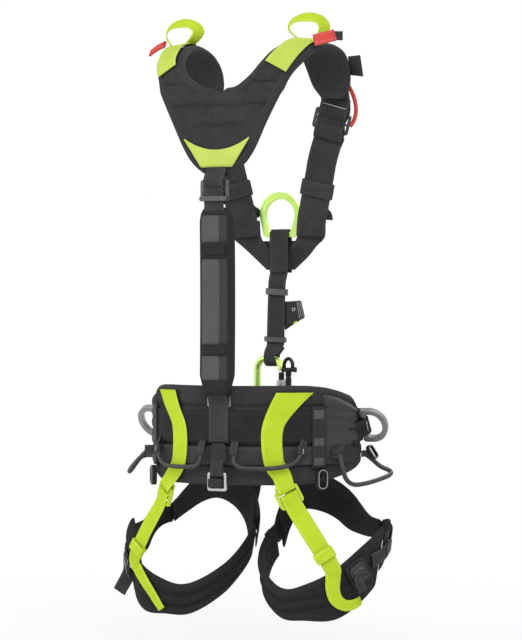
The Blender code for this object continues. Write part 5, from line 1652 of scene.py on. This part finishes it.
def build_leg_webbing(word, side):
    rows = []
    for turn in np.arange(66.0, 269.0, 7.0):
        rows.append(row(leg(turn, leg_web_rise(word, turn), LEG_WEB_LIFT), leg_out(turn), 0.022))
    web("leg_webbing_" + word, rows, BLACK, side, thickness=0.0017)


def build_leg_strap(word, side):
    middle, down, out = adjuster_frame()
    width = 0.025
    bar = middle
    rows = [row(bar - BAR_BEND * out + 0.0080 * down, -out, width)]
    rows += bend(bar, -out, -down, 0, 180, width)
    contact = leg(28.0, 0.044, LEG_STRAP_LIFT + 0.0015)
    start = bar + BAR_BEND * out + 0.018 * down
    facing = unit(out + leg_out(28.0))
    rows += [row(start, out, width), row(start + 0.5 * (contact - start) + 0.003 * facing, facing, width),
             row(contact, leg_out(28.0), 0.023)]
    for turn, up, foot_width in LEG_STRAP_FOOT[word]:
        rows.append(row(leg(turn, up, LEG_STRAP_LIFT + 0.0006), leg_out(turn), foot_width))
    web("leg_strap_" + word, rows, LIME, side)
    middle = start + 0.80 * (contact - start) + 0.0042 * facing
    along = unit(contact - start)
    place = axes(mirrored(middle, side), mirrored(np.cross(facing, along), side), mirrored(along, side))
    hoop("leg_keeper_" + word, rounded(0.0265, 0.0062, 0.0026, steps=4), 0.0150, 0.0012, place, LIME)


def build_leg_buckle(word, side):
    middle, along, out = leg_buckle_frame()
    across = np.cross(out, along)
    place = axes(mirrored(middle, side), mirrored(across, side), mirrored(out, side))
    name = "leg_buckle_frame_" + word
    plate(name + "_detail", [rounded(0.036, 0.034, 0.005, steps=6), rounded(0.026, 0.022, 0.002, steps=4)],
          0.0026, place, BLACK_ALLOY, nodes=(name,), edge=0.0009)
    hinge = middle + 0.0022 * out - 0.0130 * along
    place = axes(mirrored(hinge, side), mirrored(across, side), mirrored(out, side))
    sign = np.sign(np.dot(np.array(place.col[1][:3]), mirrored(along, side)))
    name = "leg_buckle_lever_" + word
    plate(name + "_detail", [rounded(0.028, 0.024, 0.004, (0.0, sign * 0.0123), 6)], 0.0014, place,
          BLACK_PLASTIC, name, (name,), edge=0.0005)
    plate("leg_lever_panel_" + word, [rounded(0.0130, 0.0170, 0.0020, (0.0, sign * 0.0125), 5)], 0.0010,
          place @ Matrix.Translation((0.0, 0.0, 0.0011)), DARK_ALLOY, name, edge=0.0004)
    ribs = [place @ Vector((x, sign * 0.0222, 0.0009)) for x in np.linspace(-0.0095, 0.0095, 12)]
    tube("leg_lever_rib_" + word, [np.array(spot) for spot in ribs], 0.0009, BLACK_PLASTIC, body=name, ring=8)


LEG_TAILS = {"right": ((0.1775, -0.0300, -0.1862), (0.1855, -0.0300, -0.2057), 0.0130),
             "left": ((0.1818, 0.0, -0.1958), (0.1975, 0.0, -0.2246), 0.0200)}


def build_leg_side(word, side):
    """Cloth under the leg webbing between the two pads, the strap's tab and its loose tail."""
    start, end = LEG_BACK_ENDS[1] + 0.6, LEG_FRONT_ENDS[0] - 0.6

    def place(u, v, lift):
        turn = start + u * (end - start)
        half = 0.0250 - 0.0120 * u
        return leg(turn, leg_web_rise(word, turn) + (2 * v - 1) * half, 0.0072 + lift)

    facing_sheet("leg_side_" + word, place, 16, 8, 0.0009, LEG_CLOTH, side, corner=0.0)
    rows = [row(leg(turn, leg_web_rise(word, turn) + 0.002, LEG_WEB_LIFT + 0.0022), leg_out(turn), 0.0165)
            for turn in (88.0, 94.0, 100.0)]
    ribbon("leg_tab_" + word, rows, FACING, side, thickness=0.0012)
    start, end, width = LEG_TAILS[word]
    rows = [row(leg(59.0, 0.005, LEG_WEB_LIFT + 0.0045), leg_out(59.0), width), row(start, BACKWARD, width),
            row(end, BACKWARD, width)]
    ribbon("leg_tail_" + word, rows, BLACK, side, thickness=0.0016)


def build_leg_bridge():
    width = 0.020
    low = -0.0175
    half = [row((0.0, 0.1195, low), UP, 0.016), row((0.014, 0.1195, low), UP, 0.016),
            row((0.028, 0.1200, low - 0.0015), unit((0.2, 0, 1)), 0.016),
            row((0.037, 0.1215, low - 0.011), unit((0.7, 0.4, 0.6)), 0.018),
            row((0.041, 0.1225, low - 0.028), unit((0.2, 0.9, 0.3)), width)]
    for turn, up in ((219.0, 0.045), (218.0, 0.024)):
        half.append(row(leg(turn, up, LEG_WEB_LIFT + 0.0030), leg_out(turn), width))
    other = [(-r[0], r[1], r[2], -r[3], r[4], r[5], r[6]) for r in half[:0:-1]]
    web("leg_bridge", other + half, BLACK, thickness=0.0016)


# Floor, light and camera

CAMERA_TURN = 24.0
CAMERA_DISTANCE = 3.5
CAMERA_LENS = 142.66
CAMERA_TARGET = (0.0193, 0.1587)
FLOOR_Z = -0.300


def seen_directly(tree):
    """1 for rays from the camera, from mirrors and through glass."""
    path = node(tree, "ShaderNodeLightPath", {})
    seen = maths(tree, "MAXIMUM", path.outputs["Is Camera Ray"], path.outputs["Is Glossy Ray"])
    return maths(tree, "MAXIMUM", seen, path.outputs["Is Transmission Ray"])


def build_stage():
    scene = bpy.context.scene
    scene.view_settings.view_transform = "Standard"
    turn = math.radians(CAMERA_TURN)
    right = np.array((math.cos(turn), math.sin(turn), 0.0))
    ahead = np.array((-math.sin(turn), math.cos(turn), 0.0))
    target = CAMERA_TARGET[0] * right + CAMERA_TARGET[1] * UP
    lens = bpy.data.cameras.new("camera")
    lens.lens = CAMERA_LENS
    lens.sensor_width = 36.0
    lens.clip_end = 50.0
    camera = bpy.data.objects.new("camera", lens)
    scene.collection.objects.link(camera)
    camera.matrix_world = axes(target - CAMERA_DISTANCE * ahead, right, -ahead)
    scene.camera = camera

    world = bpy.data.worlds.new("studio")
    world.use_nodes = True
    tree = world.node_tree
    backdrop = tree.nodes["Background"]
    backdrop.inputs["Color"].default_value = (1.0, 1.0, 1.0, 1.0)
    backdrop.inputs["Strength"].default_value = 1.0
    ambient = node(tree, "ShaderNodeBackground", {"Color": (1.0, 1.0, 1.0, 1.0), "Strength": 0.50})
    mix = node(tree, "ShaderNodeMixShader",
               {0: seen_directly(tree), 1: ambient.outputs[0], 2: backdrop.outputs[0]})
    tree.links.new(mix.outputs[0], tree.nodes["World Output"].inputs["Surface"])
    scene.world = world

    floor_mesh = bpy.data.meshes.new("floor")
    size = 14.0
    floor_mesh.from_pydata([(-size, -size, FLOOR_Z), (size, -size, FLOOR_Z), (size, size, FLOOR_Z),
                            (-size, size, FLOOR_Z)], [], [(0, 1, 2, 3)])
    floor = bpy.data.objects.new("floor", floor_mesh)
    pale, tree, shader = new_material("pale_floor", (0.90, 0.90, 0.90), 0.9)
    place = object_place(tree)
    grain = noise(tree, place, 6.0, 3.0)
    tree.links.new(tint(tree, grain, (0.89, 0.89, 0.89), (0.91, 0.91, 0.91)), shader.inputs["Base Color"])
    away = node(tree, "ShaderNodeVectorMath", {0: place}, operation="LENGTH").outputs["Value"]
    far = node(tree, "ShaderNodeMapRange", {"Value": away, "From Min": 0.45, "From Max": 1.3, "To Min": 0.72,
                                            "To Max": 1.0}, interpolation_type="SMOOTHSTEP").outputs[0]
    white = node(tree, "ShaderNodeEmission", {"Color": (1.0, 1.0, 1.0, 1.0), "Strength": 1.0})
    share = maths(tree, "MULTIPLY", seen_directly(tree), far)
    mix = node(tree, "ShaderNodeMixShader", {0: share, 1: shader.outputs[0], 2: white.outputs[0]})
    tree.links.new(mix.outputs[0], tree.nodes["Material Output"].inputs["Surface"])
    floor_mesh.materials.append(pale)
    scene.collection.objects.link(floor)

    for name, place, size, power in (("key", (1.4, -2.2, 2.2), 1.6, 46.0),
                                     ("fill", (-2.0, -1.6, 1.2), 1.8, 23.0),
                                     ("back", (0.3, 2.2, 1.8), 1.6, 27.0)):
        lamp = bpy.data.lights.new(name, "AREA")
        lamp.energy = power
        lamp.shape = "SQUARE"
        lamp.size = size
        light = bpy.data.objects.new(name, lamp)
        scene.collection.objects.link(light)
        light.location = place
        light.rotation_euler = (Vector((0.0, 0.0, 0.15)) - Vector(place)).to_track_quat("-Z", "Y").to_euler()


build_stage()
build_tool_loop()
build_yoke_pad()
build_belt_pad()
build_dorsal_pad()
build_crescent()
build_shoulder_tabs()
build_chest()
build_front_strap()
build_carabiner()
build_shackle()
build_back()
build_belt()
build_ventral_loop()
build_leg_bridge()
for side_word, side_sign in SIDES:
    build_lanyard_loop(side_word, side_sign)
    build_shoulder_strap(side_word, side_sign)
    build_leg_pads(side_word, side_sign)
    build_leg_webbing(side_word, side_sign)
    build_leg_strap(side_word, side_sign)
    build_leg_buckle(side_word, side_sign)
    build_leg_side(side_word, side_sign)
